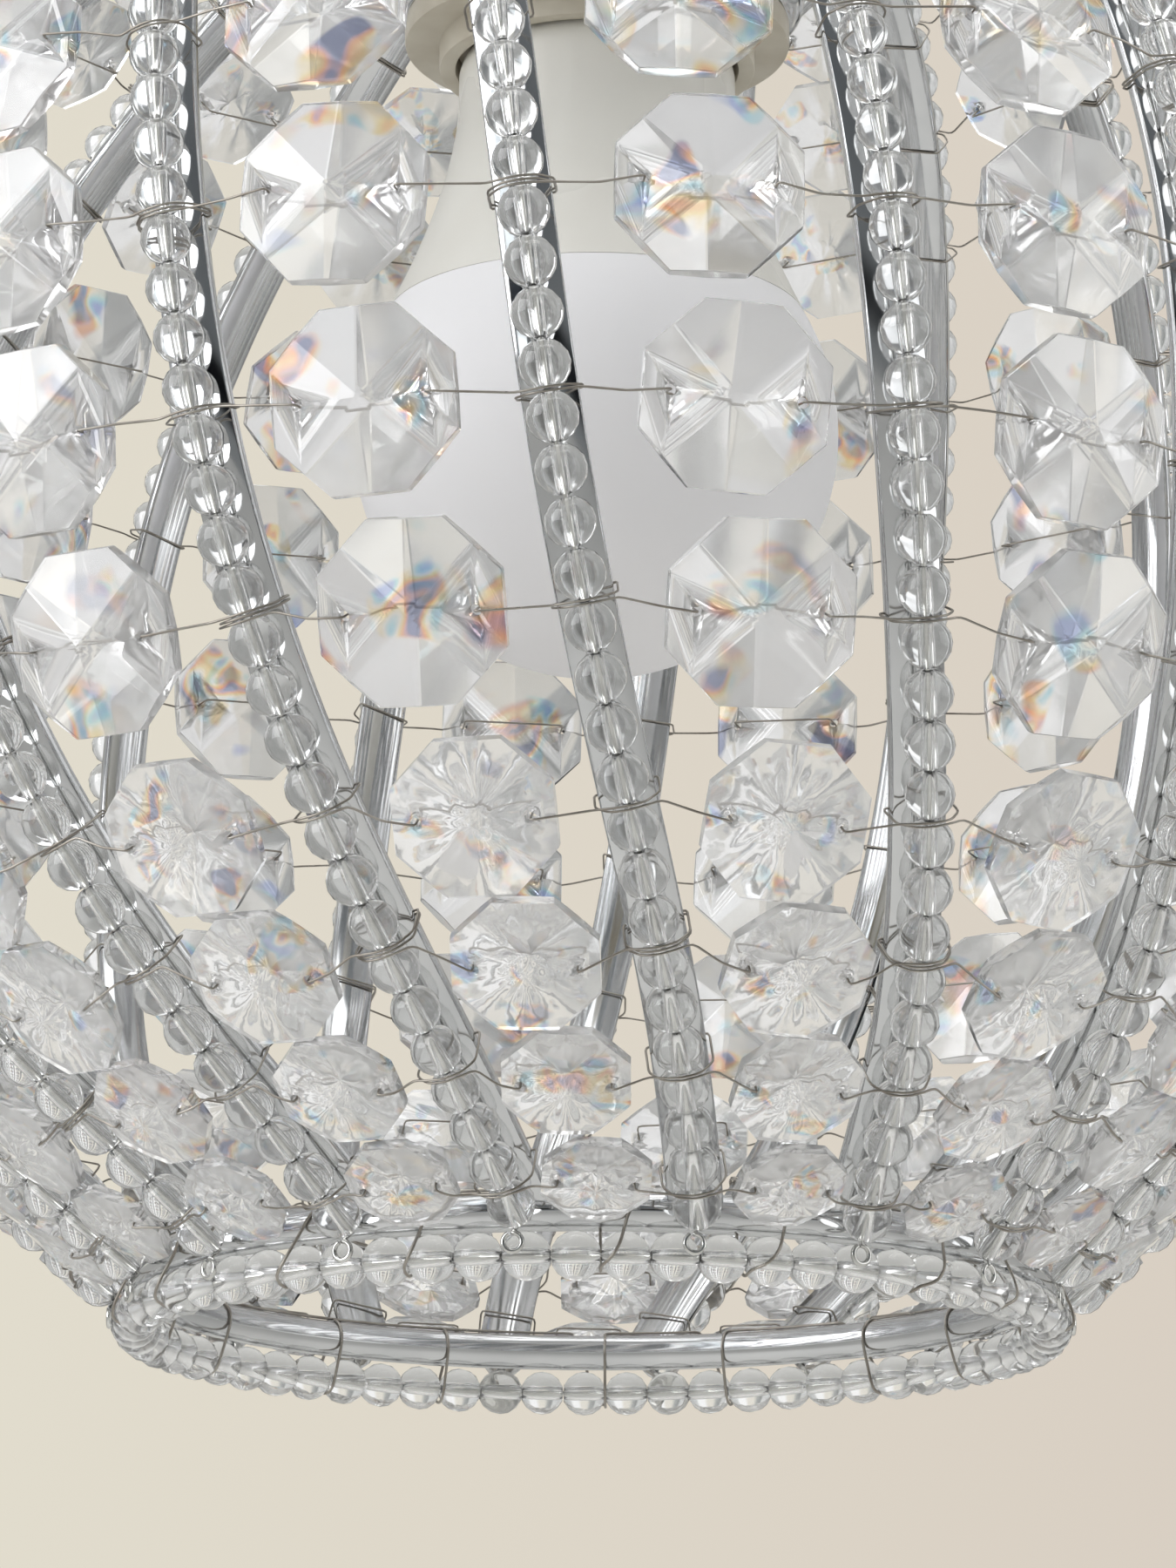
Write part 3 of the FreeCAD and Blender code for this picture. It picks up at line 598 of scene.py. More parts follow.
# Globe.
@dataclass(frozen=True)
class Globe:
    """The line of the leaning ribs and what is strung on them, in millimetres."""

    bead_centres: float = 90.7
    centre: float = 79.0
    ribs: int = 18
    first_rib: float = -4.1
    lean_even: float = 6.3
    lean_curl: float = 9.0
    flare: float = 1.3
    flare_from: float = 50.0
    flare_to: float = 59.0
    ring: float = 43.0
    bead_pitch: float = 4.45
    row_beads: tuple[int, ...] = (0, 4, 8, 12, 15, 18, 21)
    end_beads: int = 1

    @property
    def middle(self) -> Vector:
        """Centre of the globe."""
        return Vector((0.0, 0.0, self.centre))

    def out(self, lat: float, azimuth: float) -> Vector:
        """Unit vector away from the globe's centre."""
        a, f = math.radians(azimuth), math.radians(lat)
        return Vector((math.cos(f) * math.sin(a), -math.cos(f) * math.cos(a), math.sin(f)))

    def radius(self, lat: float) -> float:
        """Distance of the bead centres from the globe's centre."""
        run = (abs(lat) - self.flare_from) / (self.flare_to - self.flare_from)
        return self.bead_centres + self.flare * max(run, 0.0) ** 2

    def azimuth(self, rib: float, lat: float) -> float:
        """Azimuth of a rib at a latitude."""
        drop = -math.sin(math.radians(lat)) * self.radius(lat) / self.centre
        lean = self.lean_even * drop + self.lean_curl * drop ** 3
        return self.first_rib + 360.0 / self.ribs * rib + lean

    def point(self, rib: float, lat: float) -> Vector:
        """Point of a rib on its beads' axis."""
        return self.middle + self.out(lat, self.azimuth(rib, lat)) * self.radius(lat)

    def axes(self, rib: float, lat: float) -> tuple[Vector, Vector, Vector, Vector]:
        """Point of a rib with the directions down it, outwards and sideways."""
        along = (self.point(rib, lat - 0.05) - self.point(rib, lat + 0.05)).normalized()
        side = self.out(lat, self.azimuth(rib, lat)).cross(along).normalized()
        return self.point(rib, lat), along, along.cross(side), side

    def half_lats(self) -> list[float]:
        """Latitudes below the equator at every half bead pitch."""
        wanted = 2 * (self.row_beads[-1] + self.end_beads) + 1
        found, lat, length = [0.0], 0.0, 0.0
        last = self.point(0, 0.0)
        while len(found) < wanted:
            lat -= 0.01
            here = self.point(0, lat)
            length += (here - last).length
            last = here
            if length >= len(found) * self.bead_pitch / 2.0:
                found.append(lat)
        return found

    def turned_over(self, point: Vector) -> Vector:
        """A point of the lower half, turned over to the upper half."""
        return self.middle + self.over() @ (point - self.middle)

    def over(self) -> Quaternion:
        """The half turn that takes the lower half to the upper half."""
        a = math.radians(self.first_rib)
        return Quaternion((math.sin(a), -math.cos(a), 0.0), math.pi)


def turn_to(x_axis: Vector, z_axis: Vector) -> Quaternion:
    """Turn that lays a shape's own X and Z axes along two directions."""
    y_axis = z_axis.cross(x_axis)
    return Matrix((x_axis, y_axis, z_axis)).transposed().to_quaternion()


@dataclass
class RibCage:
    """Chrome frame: the two rings and the leaning strips between them."""

    globe: Globe
    bench: Bench
    rod: float = 3.6
    strip_width: float = 5.0
    strip_thick: float = 1.2
    strip_in: float = 2.92
    strip_end: float = 60.6
    strip_edge: float = 0.16
    sections: int = 73
    around: int = 240
    across: int = 20

    def build(self) -> None:
        """Builds the rings and the strips."""
        for name, height in (("bottom_ring", 0.0), ("top_ring", 2 * self.globe.centre)):
            points, faces = torus(self.globe.ring, self.rod / 2, height, self.around,
                                  self.across)
            made = self.bench.mesh(name + "_rod", points, faces)
            self.bench.dress(made, CHROME, Body.PENDANT, "chrome_plate", name)
        strips = self.strips()
        names = ["rib_strip_%02d" % (k + 1) for k in range(self.globe.ribs)]
        self.bench.dress(strips, CHROME, Body.PENDANT, "chrome_plate", *names)

    def strips(self) -> bpy.types.Object:
        """All strips, one loft each, their long edges eased by the plating."""
        points, faces = [], []
        for rib in range(self.globe.ribs):
            sections = []
            for k in range(self.sections):
                lat = self.strip_end * (1.0 - 2.0 * k / (self.sections - 1))
                sections.append(self.section(rib, lat))
            own_points, own_faces = loft(sections)
            first = len(points)
            points += own_points
            faces += [tuple(first + n for n in face) for face in own_faces]
        return self.bench.mesh("rib_strips", points, faces, sharp=50.0)

    def section(self, rib: int, lat: float) -> list[Vector]:
        """Loop of points round a strip, its corners eased."""
        point, _, out, side = self.globe.axes(rib, lat)
        middle = point - out * self.strip_in
        w, t = self.strip_width / 2, self.strip_thick / 2
        e = self.strip_edge
        loop = [(w - e, t), (-w + e, t), (-w, t - e), (-w, -t + e),
                (-w + e, -t), (w - e, -t), (w, -t + e), (w, t - e)]
        return [middle + side * x + out * y for x, y in loop]


@dataclass
class BeadStrings:
    """Glass beads along every strip, with the wire through them and its eyelets."""

    globe: Globe
    bench: Bench
    scatter: bpy.types.NodeTree
    wire: bpy.types.NodeTree
    bead: float = 4.6
    bead_length: float = 4.26
    bore: float = 1.0
    around: int = 14
    steps: int = 6
    smallest: float = 0.965
    wire_sides: int = 8
    string_wire: float = 0.5
    eyelet: float = 0.85
    eyelet_drop: float = 3.25
    eyelet_out: float = -1.0
    eyelet_points: int = 19
    eyelet_turn: float = 18.5
    gap: float = 0.02

    def build(self) -> None:
        """Builds the beads in three groups of strips, and the string wires."""
        shape = self.shape()
        lats = self.globe.half_lats()
        group = self.globe.ribs // 3
        for first in range(0, self.globe.ribs, group):
            spots = []
            for rib in range(first, first + group):
                for lat in lats[1::2]:
                    for own in (lat, -lat):
                        point, along, _, side = self.globe.axes(rib, own)
                        spots.append((point, turn_to(side, along)))
            name = "rib_beads_%02d_%02d" % (first + 1, first + group)
            base = self.bench.places(name + "_glass", spots)
            made = grown(base, self.scatter, {
                "Shape": shape, "Smallest": self.smallest, "Seed": 11 + first,
                "Finish": BEAD_GLASS.material()})
            self.bench.dress(made, BEAD_GLASS, Body.PENDANT, "bead_glass", name)
        bpy.data.objects.remove(shape)
        runs = [self.string(rib, lats) for rib in range(self.globe.ribs)]
        made = grown(self.bench.lines("string_wires_with_eyelets", runs, False), self.wire, {
            "Diameter": self.string_wire * MM, "Sides": self.wire_sides,
            "Finish": STRING_WIRE.material()})
        self.bench.dress(made, STRING_WIRE, Body.PENDANT, "steel_wire", "bead_string_wires")

    def shape(self) -> bpy.types.Object:
        """One bead round its own bore, its axis along Z, at the origin."""
        r, half, bore = self.bead / 2, self.bead_length / 2, self.bore / 2
        end = math.asin(half / r)
        outline = [(r * math.cos(end * (2 * k / self.steps - 1)),
                    r * math.sin(end * (2 * k / self.steps - 1)))
                   for k in range(self.steps + 1)]
        outline += [(bore, half), (bore, -half)]
        points, faces = lathe(outline, self.around)
        made = self.bench.mesh("one_bead", points, faces, sharp=40.0)
        made.data.transform(Matrix.Translation((0, 0, -self.bench.ring_height)))
        return made

    def hook(self, rib: int, lats: list[float]) -> list[Vector]:
        """Wire past the last bead, bent into an eyelet close under it."""
        lat = lats[-2]
        last, along, _, _ = self.globe.axes(rib, lat)
        level = self.globe.out(0.0, self.globe.azimuth(rib, lat))
        across = UP.cross(level)
        middle = last + level * self.eyelet_out - UP * self.eyelet_drop
        reach = self.bead_length / 2 + self.string_wire / 2 + self.gap
        points = [last + along * reach]
        for k in range(self.eyelet_points):
            a = math.radians(90 - self.eyelet_turn * k)
            points.append(middle + across * (self.eyelet * math.cos(a))
                          + UP * (self.eyelet * math.sin(a)))
        return points

    def string(self, rib: int, lats: list[float]) -> list[Vector]:
        """Line of one string wire from eyelet to eyelet."""
        lower = [self.globe.point(rib, lat) for lat in lats[1:-1]] + self.hook(rib, lats)
        partner = [self.globe.point(-rib, lat) for lat in lats[1:-1]] + self.hook(-rib, lats)
        upper = [self.globe.turned_over(p) for p in partner]
        return upper[::-1] + [self.globe.point(rib, 0.0)] + lower


@dataclass
class CrystalRows:
    """Rows of octagon crystals, with the thin wires that carry them."""

    globe: Globe
    bench: Bench
    scatter: bpy.types.NodeTree
    wire: bpy.types.NodeTree
    lats: tuple[float, ...] = (0.0, 11.35, 22.6, 33.9, 42.6, 50.3, 57.1)
    widths: tuple[float, ...] = (16.0, 16.0, 16.0, 14.0, 12.8, 11.2, 9.6)
    first_moulded: int = 3
    out: float = 0.5
    half_thick: float = 0.175
    edge: float = 0.5
    hole: float = 1.1
    hole_sides: int = 12
    drill_past: float = 1.0
    hole_at: float = 0.35
    eased: float = 0.09
    around: int = 32
    steps: int = 6
    flute: float = 0.22
    wire_thick: float = 0.22
    wire_sides: int = 6
    bend: float = 0.5
    lift: float = 0.3
    over_rise: float = 1.5
    shoulder_at: float = 0.55
    shoulder_rise: float = 0.8
    arrive: float = 0.5
    tuck: float = -0.4
    half_run: float = 2.85
    behind: float = 3.76
    turn_step: float = 0.34
    double_share: float = 0.3
    slack: float = 0.45
    spin: float = 3.5
    tilt: float = 2.5
    chance: random.Random = field(default_factory=lambda: random.Random(41))

    def build(self) -> None:
        """Builds every row of crystals and every row wire."""
        lats = self.globe.half_lats()
        wires = []
        for row in range(len(self.lats)):
            shape = self.crystal(row)
            halves = ["equator"] if row == 0 else ["lower_%d" % row, "upper_%d" % row]
            for half in halves:
                over = half.startswith("upper")
                stands = [self.stand(rib, row) for rib in range(self.globe.ribs)]
                wires.append(self.row_line(row, stands, lats, over))
                spots = [(self.flip(p, over), self.flip_turn(q, over)) for p, q in stands]
                finish = CRYSTAL_GLASS if row < self.first_moulded else MOULDED_CRYSTAL
                base = self.bench.places("crystals_" + half, spots)
                made = grown(base, self.scatter, {
                    "Shape": shape, "Smallest": 1.0, "Seed": 60 + row + 20 * over,
                    "Finish": finish.material()})
                self.bench.dress(made, finish, Body.PENDANT, "crystal_glass",
                                 "crystal_row_" + half)
            bpy.data.objects.remove(shape)
        made = grown(self.bench.lines("row_wires_and_wraps", wires, True), self.wire, {
            "Diameter": self.wire_thick * MM, "Sides": self.wire_sides,
            "Finish": WIRE.material()})
        self.bench.dress(made, WIRE, Body.PENDANT, "steel_wire", "row_wires", "rib_ties")

    def flip(self, point: Vector, over: bool) -> Vector:
        """A point in its own half of the globe."""
        return self.globe.turned_over(point) if over else point

    def flip_turn(self, turn: Quaternion, over: bool) -> Quaternion:
        """A turn in its own half of the globe."""
        return self.globe.over() @ turn if over else turn

    def stand(self, rib: int, row: int) -> tuple[Vector, Quaternion]:
        """Centre and turn of a crystal, a little askew as hung by hand."""
        lat = -self.lats[row]
        azimuth = self.globe.azimuth(rib + 0.5, lat)
        out = self.globe.out(lat, azimuth)
        side = UP.cross(out).normalized()
        centre = self.globe.middle + out * (self.globe.radius(lat) + self.out)
        turn = turn_to(side, out)
        spin = math.radians(self.chance.uniform(-self.spin, self.spin))
        tilt = math.radians(self.chance.uniform(-self.tilt, self.tilt))
        own = Quaternion((0, 0, 1), spin) @ Quaternion((1, 0, 0), tilt)
        return centre, turn @ own

    def height(self, width: float, reach: float) -> float:
        """Half thickness of a crystal at a distance towards a corner."""
        corner = width / 2 / math.cos(math.pi / 8)
        middle = self.half_thick * width
        return middle - (middle - self.edge) * reach / corner

    def crystal(self, row: int) -> bpy.types.Object:
        """One crystal of a row at the origin, bored, with its own coordinates kept."""
        width = self.widths[row]
        if row < self.first_moulded:
            made = self.cut_shape(width)
        else:
            made = self.moulded_shape(width)
        drill = self.drills(width)
        bore = made.modifiers.new("bores", "BOOLEAN")
        bore.operation = "DIFFERENCE"
        bore.solver = "EXACT"
        bore.object = drill
        settled(made)
        bpy.data.objects.remove(drill)
        own = made.data.attributes.new("cut", "FLOAT_VECTOR", "POINT")
        own.data.foreach_set("vector", [c / MM for v in made.data.vertices for c in v.co])
        return made

    def drills(self, width: float) -> bpy.types.Object:
        """Two rods where a crystal's holes go."""
        points, faces = [], []
        deep = self.half_thick * width + self.drill_past
        turns = [2 * math.pi * k / self.hole_sides for k in range(self.hole_sides)]
        for sign in (-1, 1):
            middle = sign * self.hole_at * width
            rings = [[Vector((middle + self.hole / 2 * math.cos(a),
                              self.hole / 2 * math.sin(a), z)) for a in turns]
                     for z in (-deep, deep)]
            own_points, own_faces = loft(rings)
            first = len(points)
            points += own_points
            faces += [tuple(first + n for n in face) for face in own_faces]
        made = self.bench.mesh("drills", points, faces)
        made.data.transform(Matrix.Translation((0, 0, -self.bench.ring_height)))
        return made

    def cut_shape(self, width: float) -> bpy.types.Object:
        """Octagon with eight flat facets to a point on each side, edges just eased."""
        flat_r = width / 2
        corner_r = flat_r / math.cos(math.pi / 8)
        flat_h = self.height(width, flat_r * math.cos(math.pi / 8))
        points = []
        for sign in (1, -1):
            points.append(Vector((0, 0, sign * self.half_thick * width)))
            for k in range(8):
                a, b = math.pi / 4 * k, math.pi / 4 * (k + 0.5)
                points.append(Vector((flat_r * math.cos(a), flat_r * math.sin(a),
                                      sign * flat_h)))
                points.append(Vector((corner_r * math.cos(b), corner_r * math.sin(b),
                                      sign * self.edge)))
        faces = []
        for k in range(8):
            m = (k + 1) % 8
            for first in (0, 17):
                faces.append((first, first + 1 + 2 * k, first + 2 + 2 * k, first + 1 + 2 * m))
            p = (k - 1) % 8
            faces.append((2 + 2 * p, 1 + 2 * k, 2 + 2 * k, 19 + 2 * k, 18 + 2 * k, 19 + 2 * p))
        made = self.bench.mesh("one_crystal", points, faces, sharp=1.0)
        made.data.transform(Matrix.Translation((0, 0, -self.bench.ring_height)))
        ease = made.modifiers.new("eased", "BEVEL")
        ease.width = self.eased * MM
        ease.segments = 1
        ease.limit_method = "ANGLE"
        ease.angle_limit = math.radians(4)
        settled(made)
        made.data.set_sharp_from_angle(angle=math.radians(1))
        return made

    def moulded_shape(self, width: float) -> bpy.types.Object:
        """Octagon with soft flutes between eight ridges, as it comes from the mould."""
        around, steps = self.around, self.steps
        sections = []
        for sign in (1, -1):
            for k in range(steps + 1):
                share = k / steps if sign > 0 else 1 - k / steps
                sections.append([self.moulded_point(width, share, 2 * math.pi * m / around,
                                                    sign) for m in range(around)])
        points = [p for section in sections for p in section]
        rings = [list(range(around * k, around * k + around)) for k in range(len(sections))]
        rings[0] = [0] * around
        rings[-1] = [rings[-1][0]] * around
        made = self.bench.mesh("one_crystal", points, skin(rings, False), sharp=28.0)
        made.data.transform(Matrix.Translation((0, 0, -self.bench.ring_height)))
        return made

    def moulded_point(self, width: float, share: float, angle: float, sign: int) -> Vector:
        """Point of a moulded crystal's skin, its share of the way to the rim."""
        off = (angle + math.pi / 8) % (math.pi / 4) - math.pi / 8
        reach = width / 2 / math.cos(off) * share
        ridge = math.cos(4 * angle) ** 2
        hollow = self.flute * (1 - ridge) * 4 * share * (1 - share)
        high = self.height(width, reach) - hollow
        return Vector((reach * math.cos(angle), reach * math.sin(angle), sign * high))

    def crossing(self, rib: int, row: int, lats: list[float]) -> list[Vector]:
        """Wire at a rib: over the beads, round behind the strip and over them again."""
        lat = lats[2 * self.globe.row_beads[row]]
        point, along, out, side = self.globe.axes(rib, lat)
        lift = self.over_rise + self.chance.uniform(-0.05, 0.15)
        slant = self.chance.uniform(0.1, 0.6)
        turns = 2 if self.chance.random() < self.double_share else 1
        w, b = self.half_run, -self.behind
        path = []
        for turn in range(turns + 1):
            z = (turn - turns / 2) * self.turn_step
            low = self.tuck + self.chance.uniform(-0.3, 0.3)
            start = self.arrive * lift if turn == 0 else low
            end = self.arrive * lift if turn == turns else low
            near, high = self.shoulder_at * w, self.shoulder_rise * lift
            path += [(-w, start, z), (-near, high, z), (0.0, lift, z), (near, high, z),
                     (w, end, z)]
            if turn < turns:
                path += [(w, b, z - slant), (-w, b, z + slant)]
        return [point + side * x + out * y + along * z for x, y, z in path]

    def row_line(self, row: int, stands: list[tuple[Vector, Quaternion]], lats: list[float],
                 over: bool) -> list[Vector]:
        """One wire round the globe, over every rib and through every crystal."""
        width = self.widths[row]
        at = self.hole_at * width
        front = self.height(width, at * math.cos(math.pi / 8)) + self.lift
        back = -self.half_thick * width - self.lift
        line = []
        for rib in range(self.globe.ribs):
            over_rib = self.crossing(rib, row, lats)
            centre, turn = stands[rib]
            through = [centre + turn @ Vector(p) for p in
                       ((-at, 0, front), (-at, 0, back), (at, 0, back), (at, 0, front))]
            for before, after in ((line, over_rib), (over_rib, through)):
                if before:
                    sag = UP * self.chance.uniform(-self.slack, 0.3 * self.slack)
                    before.append((before[-1] + after[0]) / 2 + sag)
            line += over_rib + through
        line = rounded(line, self.bend, 2, True)
        return [self.flip(p, over) for p in line]


@dataclass
class RingString:
    """Bead string under the bottom ring and the wire that binds it there."""

    globe: Globe
    bench: Bench
    beads: BeadStrings
    count: int = 63
    out: float = 0.8
    drop: float = 4.1
    turn: float = 3.14
    clear: float = 3.9
    wire_thick: float = 0.3
    wire_sides: int = 6
    bend: float = 0.8
    off: float = 0.05
    inside: tuple[float, ...] = (90, 125, 165, 205)
    under: tuple[float, ...] = (185, 225, 270, 315)
    across: tuple[tuple[float, float], ...] = ((345, 0.2), (375, 0.4))
    back: tuple[tuple[float, float], ...] = (
        (-15, 0.6), (10, 0.72), (40, 0.86), (70, 0.96), (90, 1.0))
    round_notch: float = 1.5
    rod: float = 1.8
    gap: float = 0.02
    chance: random.Random = field(default_factory=lambda: random.Random(7))

    def build(self) -> None:
        """Builds the ring's beads, their wire and the binding."""
        shape = self.beads.shape()
        spots = []
        for index in range(self.count):
            azimuth = self.azimuth(index)
            spots.append((self.level(self.globe.ring + self.out, azimuth, -self.drop),
                          turn_to(UP, UP.cross(self.globe.out(0.0, azimuth)))))
        made = grown(self.bench.places("ring_beads_glass", spots), self.beads.scatter, {
            "Shape": shape, "Smallest": self.beads.smallest, "Seed": 5,
            "Finish": BEAD_GLASS.material()})
        self.bench.dress(made, BEAD_GLASS, Body.PENDANT, "bead_glass", "ring_beads")
        bpy.data.objects.remove(shape)
        line = [self.level(self.globe.ring + self.out, 2.0 * k, -self.drop)
                for k in range(180)]
        made = grown(self.bench.lines("ring_string_wire", [line], True), self.beads.wire, {
            "Diameter": self.beads.string_wire * MM, "Sides": self.beads.wire_sides,
            "Finish": STRING_WIRE.material()})
        self.bench.dress(made, STRING_WIRE, Body.PENDANT, "steel_wire", "ring_bead_wire")
        base = self.bench.lines("ring_binding_turns", [self.binding()], False)
        made = grown(base, self.beads.wire, {
            "Diameter": self.wire_thick * MM, "Sides": self.wire_sides,
            "Finish": WIRE.material()})
        self.bench.dress(made, WIRE, Body.PENDANT, "steel_wire", "ring_binding_wire")

    def azimuth(self, index: float) -> float:
        """Azimuth of a ring bead, counted in beads."""
        return self.globe.azimuth(0, -61.0) + self.turn + 360.0 / self.count * index

    def level(self, radius: float, azimuth: float, height: float) -> Vector:
        """Point at a radius from the axis."""
        a = math.radians(azimuth)
        return Vector((radius * math.sin(a), -radius * math.cos(a), height))

    def binding(self) -> list[Vector]:
        """Line of the binding wire, in long slanting turns round the rod and the string.

        Each turn goes down inside the ring, under the string in a notch between two
        beads, slants up across a bead and goes back over the rod.
        """
        feet = [self.globe.azimuth(rib, -61.0) for rib in range(self.globe.ribs)]
        notches = [self.azimuth(k + 0.5) for k in range(self.count)]
        free = [own for own in notches
                if all(abs((own - foot + 180) % 360 - 180) >= self.clear for foot in feet)]
        used = free[::2]
        skin_off = self.wire_thick / 2 + self.gap + self.off
        rod, bead = self.rod + skin_off, self.beads.bead / 2 + skin_off
        ring, string = (self.globe.ring, 0.0), (self.globe.ring + self.out, -self.drop)
        line = []
        for index, azimuth in enumerate(used):
            slant = self.chance.choice((-0.3, 0.9, 1.0, 1.0)) * self.chance.uniform(4.5, 7.5)
            turns = [(ring, rod, deg, 0.0) for deg in self.inside]
            turns += [(string, self.round_notch, deg, 0.0) for deg in self.under]
            turns += [(string, bead, deg, share) for deg, share in self.across]
            turns += [(ring, rod, deg, share) for deg, share in self.back]
            for (radius, height), reach, deg, share in turns:
                a = math.radians(deg)
                line.append(self.level(radius + reach * math.cos(a), azimuth + slant * share,
                                       height + reach * math.sin(a)))
            if index + 1 < len(used):
                first = azimuth + slant
                span = used[index + 1] - first
                for k in (1, 2):
                    line.append(self.level(self.globe.ring, first + span * k / 3, rod))
        return rounded(line, self.bend, 3)


@dataclass
class Carrier:
    """Thick chrome ring on the holder, and its arms to the top ring."""

    globe: Globe
    bench: Bench
    radius: float = 18.6
    rod: float = 5.0
    height: float = 132.0
    arm: float = 3.6
    arms: int = 3
    around: int = 160
    across: int = 24
    arm_sides: int = 20
    arm_steps: int = 12
    weld_low: float = 0.5
    weld_high: float = 1.3

    def build(self) -> None:
        """Builds the carrier ring and the arms."""
        points, faces = torus(self.radius, self.rod / 2, self.height, self.around,
                              self.across)
        made = self.bench.mesh("carrier_ring_rod", points, faces)
        self.bench.dress(made, CHROME, Body.PENDANT, "chrome_plate", "carrier_ring")
        points, faces = [], []
        for k in range(self.arms):
            between = 0.5 + self.globe.ribs // self.arms * k
            azimuth = self.globe.azimuth(between, 61.0)
            own_points, own_faces = self.rod_between(
                self.globe.out(0, azimuth) * self.radius + UP * self.height,
                self.globe.out(0, azimuth) * self.globe.ring + UP * 2 * self.globe.centre)
            first = len(points)
            points += own_points
            faces += [tuple(first + n for n in face) for face in own_faces]
        made = self.bench.mesh("carrier_arm_rods", points, faces)
        self.bench.dress(made, CHROME, Body.PENDANT, "chrome_plate", "carrier_arms")

    def rod_between(self, low: Vector, high: Vector
                    ) -> tuple[list[Vector], list[tuple[int, ...]]]:
        """Round rod from ring to ring, its ends a little inside both."""
        run = (high - low).normalized()
        side = run.cross(UP).normalized()
        other = run.cross(side)
        start = self.rod / 2 - self.weld_low
        end = (high - low).length - self.weld_high
        turns = [2 * math.pi * m / self.arm_sides for m in range(self.arm_sides)]
        sections = []
        for k in range(self.arm_steps + 1):
            centre = low + run * (start + (end - start) * k / self.arm_steps)
            sections.append([centre + (side * math.cos(a) + other * math.sin(a)) * self.arm / 2
                             for a in turns])
        return loft(sections)


@dataclass
class Holder:
    """Lamp holder: body, shade ring, cap, cord grip and what they hold inside."""

    bench: Bench
    carrier: Carrier
    body: float = 28.4
    bore: float = 25.4
    below: float = 5.7
    shoulder: float = 36.6
    shoulder_thick: float = 3.0
    upper: float = 33.0
    upper_height: float = 25.0
    seat_up: float = 17.0
    ring_outer: float = 32.0
    ring_flange: float = 39.0
    flange_thick: float = 2.6
    skirt: float = 5.2
    socket_bore: float = 14.2
    socket_wall: float = 0.5
    socket_length: float = 19.0
    cap_height: float = 12.0
    cap_top: float = 22.0
    wall: float = 2.0
    entry: float = 10.0
    grip_bore: float = 6.6
    grip_head: float = 16.0
    grip_height: float = 9.0
    spigot: float = 5.0

    def build(self) -> None:
        """Builds the holder's pieces round the axis."""
        shoulder = self.carrier.height + self.carrier.rod / 2
        flange = self.carrier.height - self.carrier.rod / 2
        low = self.carrier.height - self.below
        top = shoulder + self.upper_height
        seat = shoulder + self.seat_up
        self.turned("holder_body_shell", [
            (self.bore / 2, low), (self.body / 2, low), (self.body / 2, shoulder),
            (self.shoulder / 2, shoulder), (self.shoulder / 2, shoulder + self.shoulder_thick),
            (self.upper / 2, shoulder + self.shoulder_thick), (self.upper / 2, top),
            (self.body / 2, top), (self.body / 2, seat), (self.bore / 2, seat)],
            CREAM_PLASTIC, "cream_plastic", "holder_body")
        self.turned("shade_ring_shell", [
            (self.body / 2 + 0.1, flange - self.skirt), (self.ring_outer / 2,
                                                         flange - self.skirt),
            (self.ring_outer / 2, flange - self.flange_thick),
            (self.ring_flange / 2, flange - self.flange_thick), (self.ring_flange / 2, flange),
            (self.body / 2 + 0.1, flange)],
            CREAM_PLASTIC, "cream_plastic", "shade_ring", body=Body.SHADE_RING)
        high = top + self.cap_height
        outer = self.upper / 2
        self.turned("holder_cap_shell", [
            (outer - self.wall, top), (outer, top), (outer, top + self.wall),
            (self.cap_top / 2, high), (self.entry / 2, high),
            (self.entry / 2, high - self.spigot),
            (self.cap_top / 2 - self.wall, high - self.spigot),
            (outer - self.wall, top + self.wall)],
            CREAM_PLASTIC, "cream_plastic", "holder_cap")
        self.turned("cord_grip_shell", [
            (self.grip_bore / 2, high - self.spigot), (self.entry / 2, high - self.spigot),
            (self.entry / 2, high), (self.grip_head / 2, high),
            (self.entry / 2 + 1.0, high + self.grip_height),
            (self.grip_bore / 2, high + self.grip_height)],
            CREAM_PLASTIC, "cream_plastic", "cord_grip")
        self.bench.dress_node("socket_plate", SOCKET_PLASTIC, "socket_plastic")
        self.bench.dress_node("centre_contact", BRASS, "brass")
        self.bench.dress_node("terminal_screws", BRASS, "brass")
        self.socket(seat)

    def turned(self, name: str, outline: list[tuple[float, float]], finish: Finish,
               slot: str, node: str, body: Body = Body.PENDANT) -> None:
        """Builds one turned piece with eased edges."""
        points, faces = lathe(outline, 128, True, 0.3)
        made = self.bench.mesh(name, points, faces, sharp=40.0)
        self.bench.dress(made, finish, body, slot, node)

    def socket(self, seat: float) -> None:
        """Builds the socket shell with its rolled thread."""
        points, faces = threaded(self.socket_bore / 2 + self.socket_wall, self.socket_wall,
                                 seat - self.socket_length, seat, 0.35)
        made = self.bench.mesh("socket_shell_thread", points, faces)
        self.bench.dress(made, BRASS, Body.PENDANT, "brass", "socket_shell")


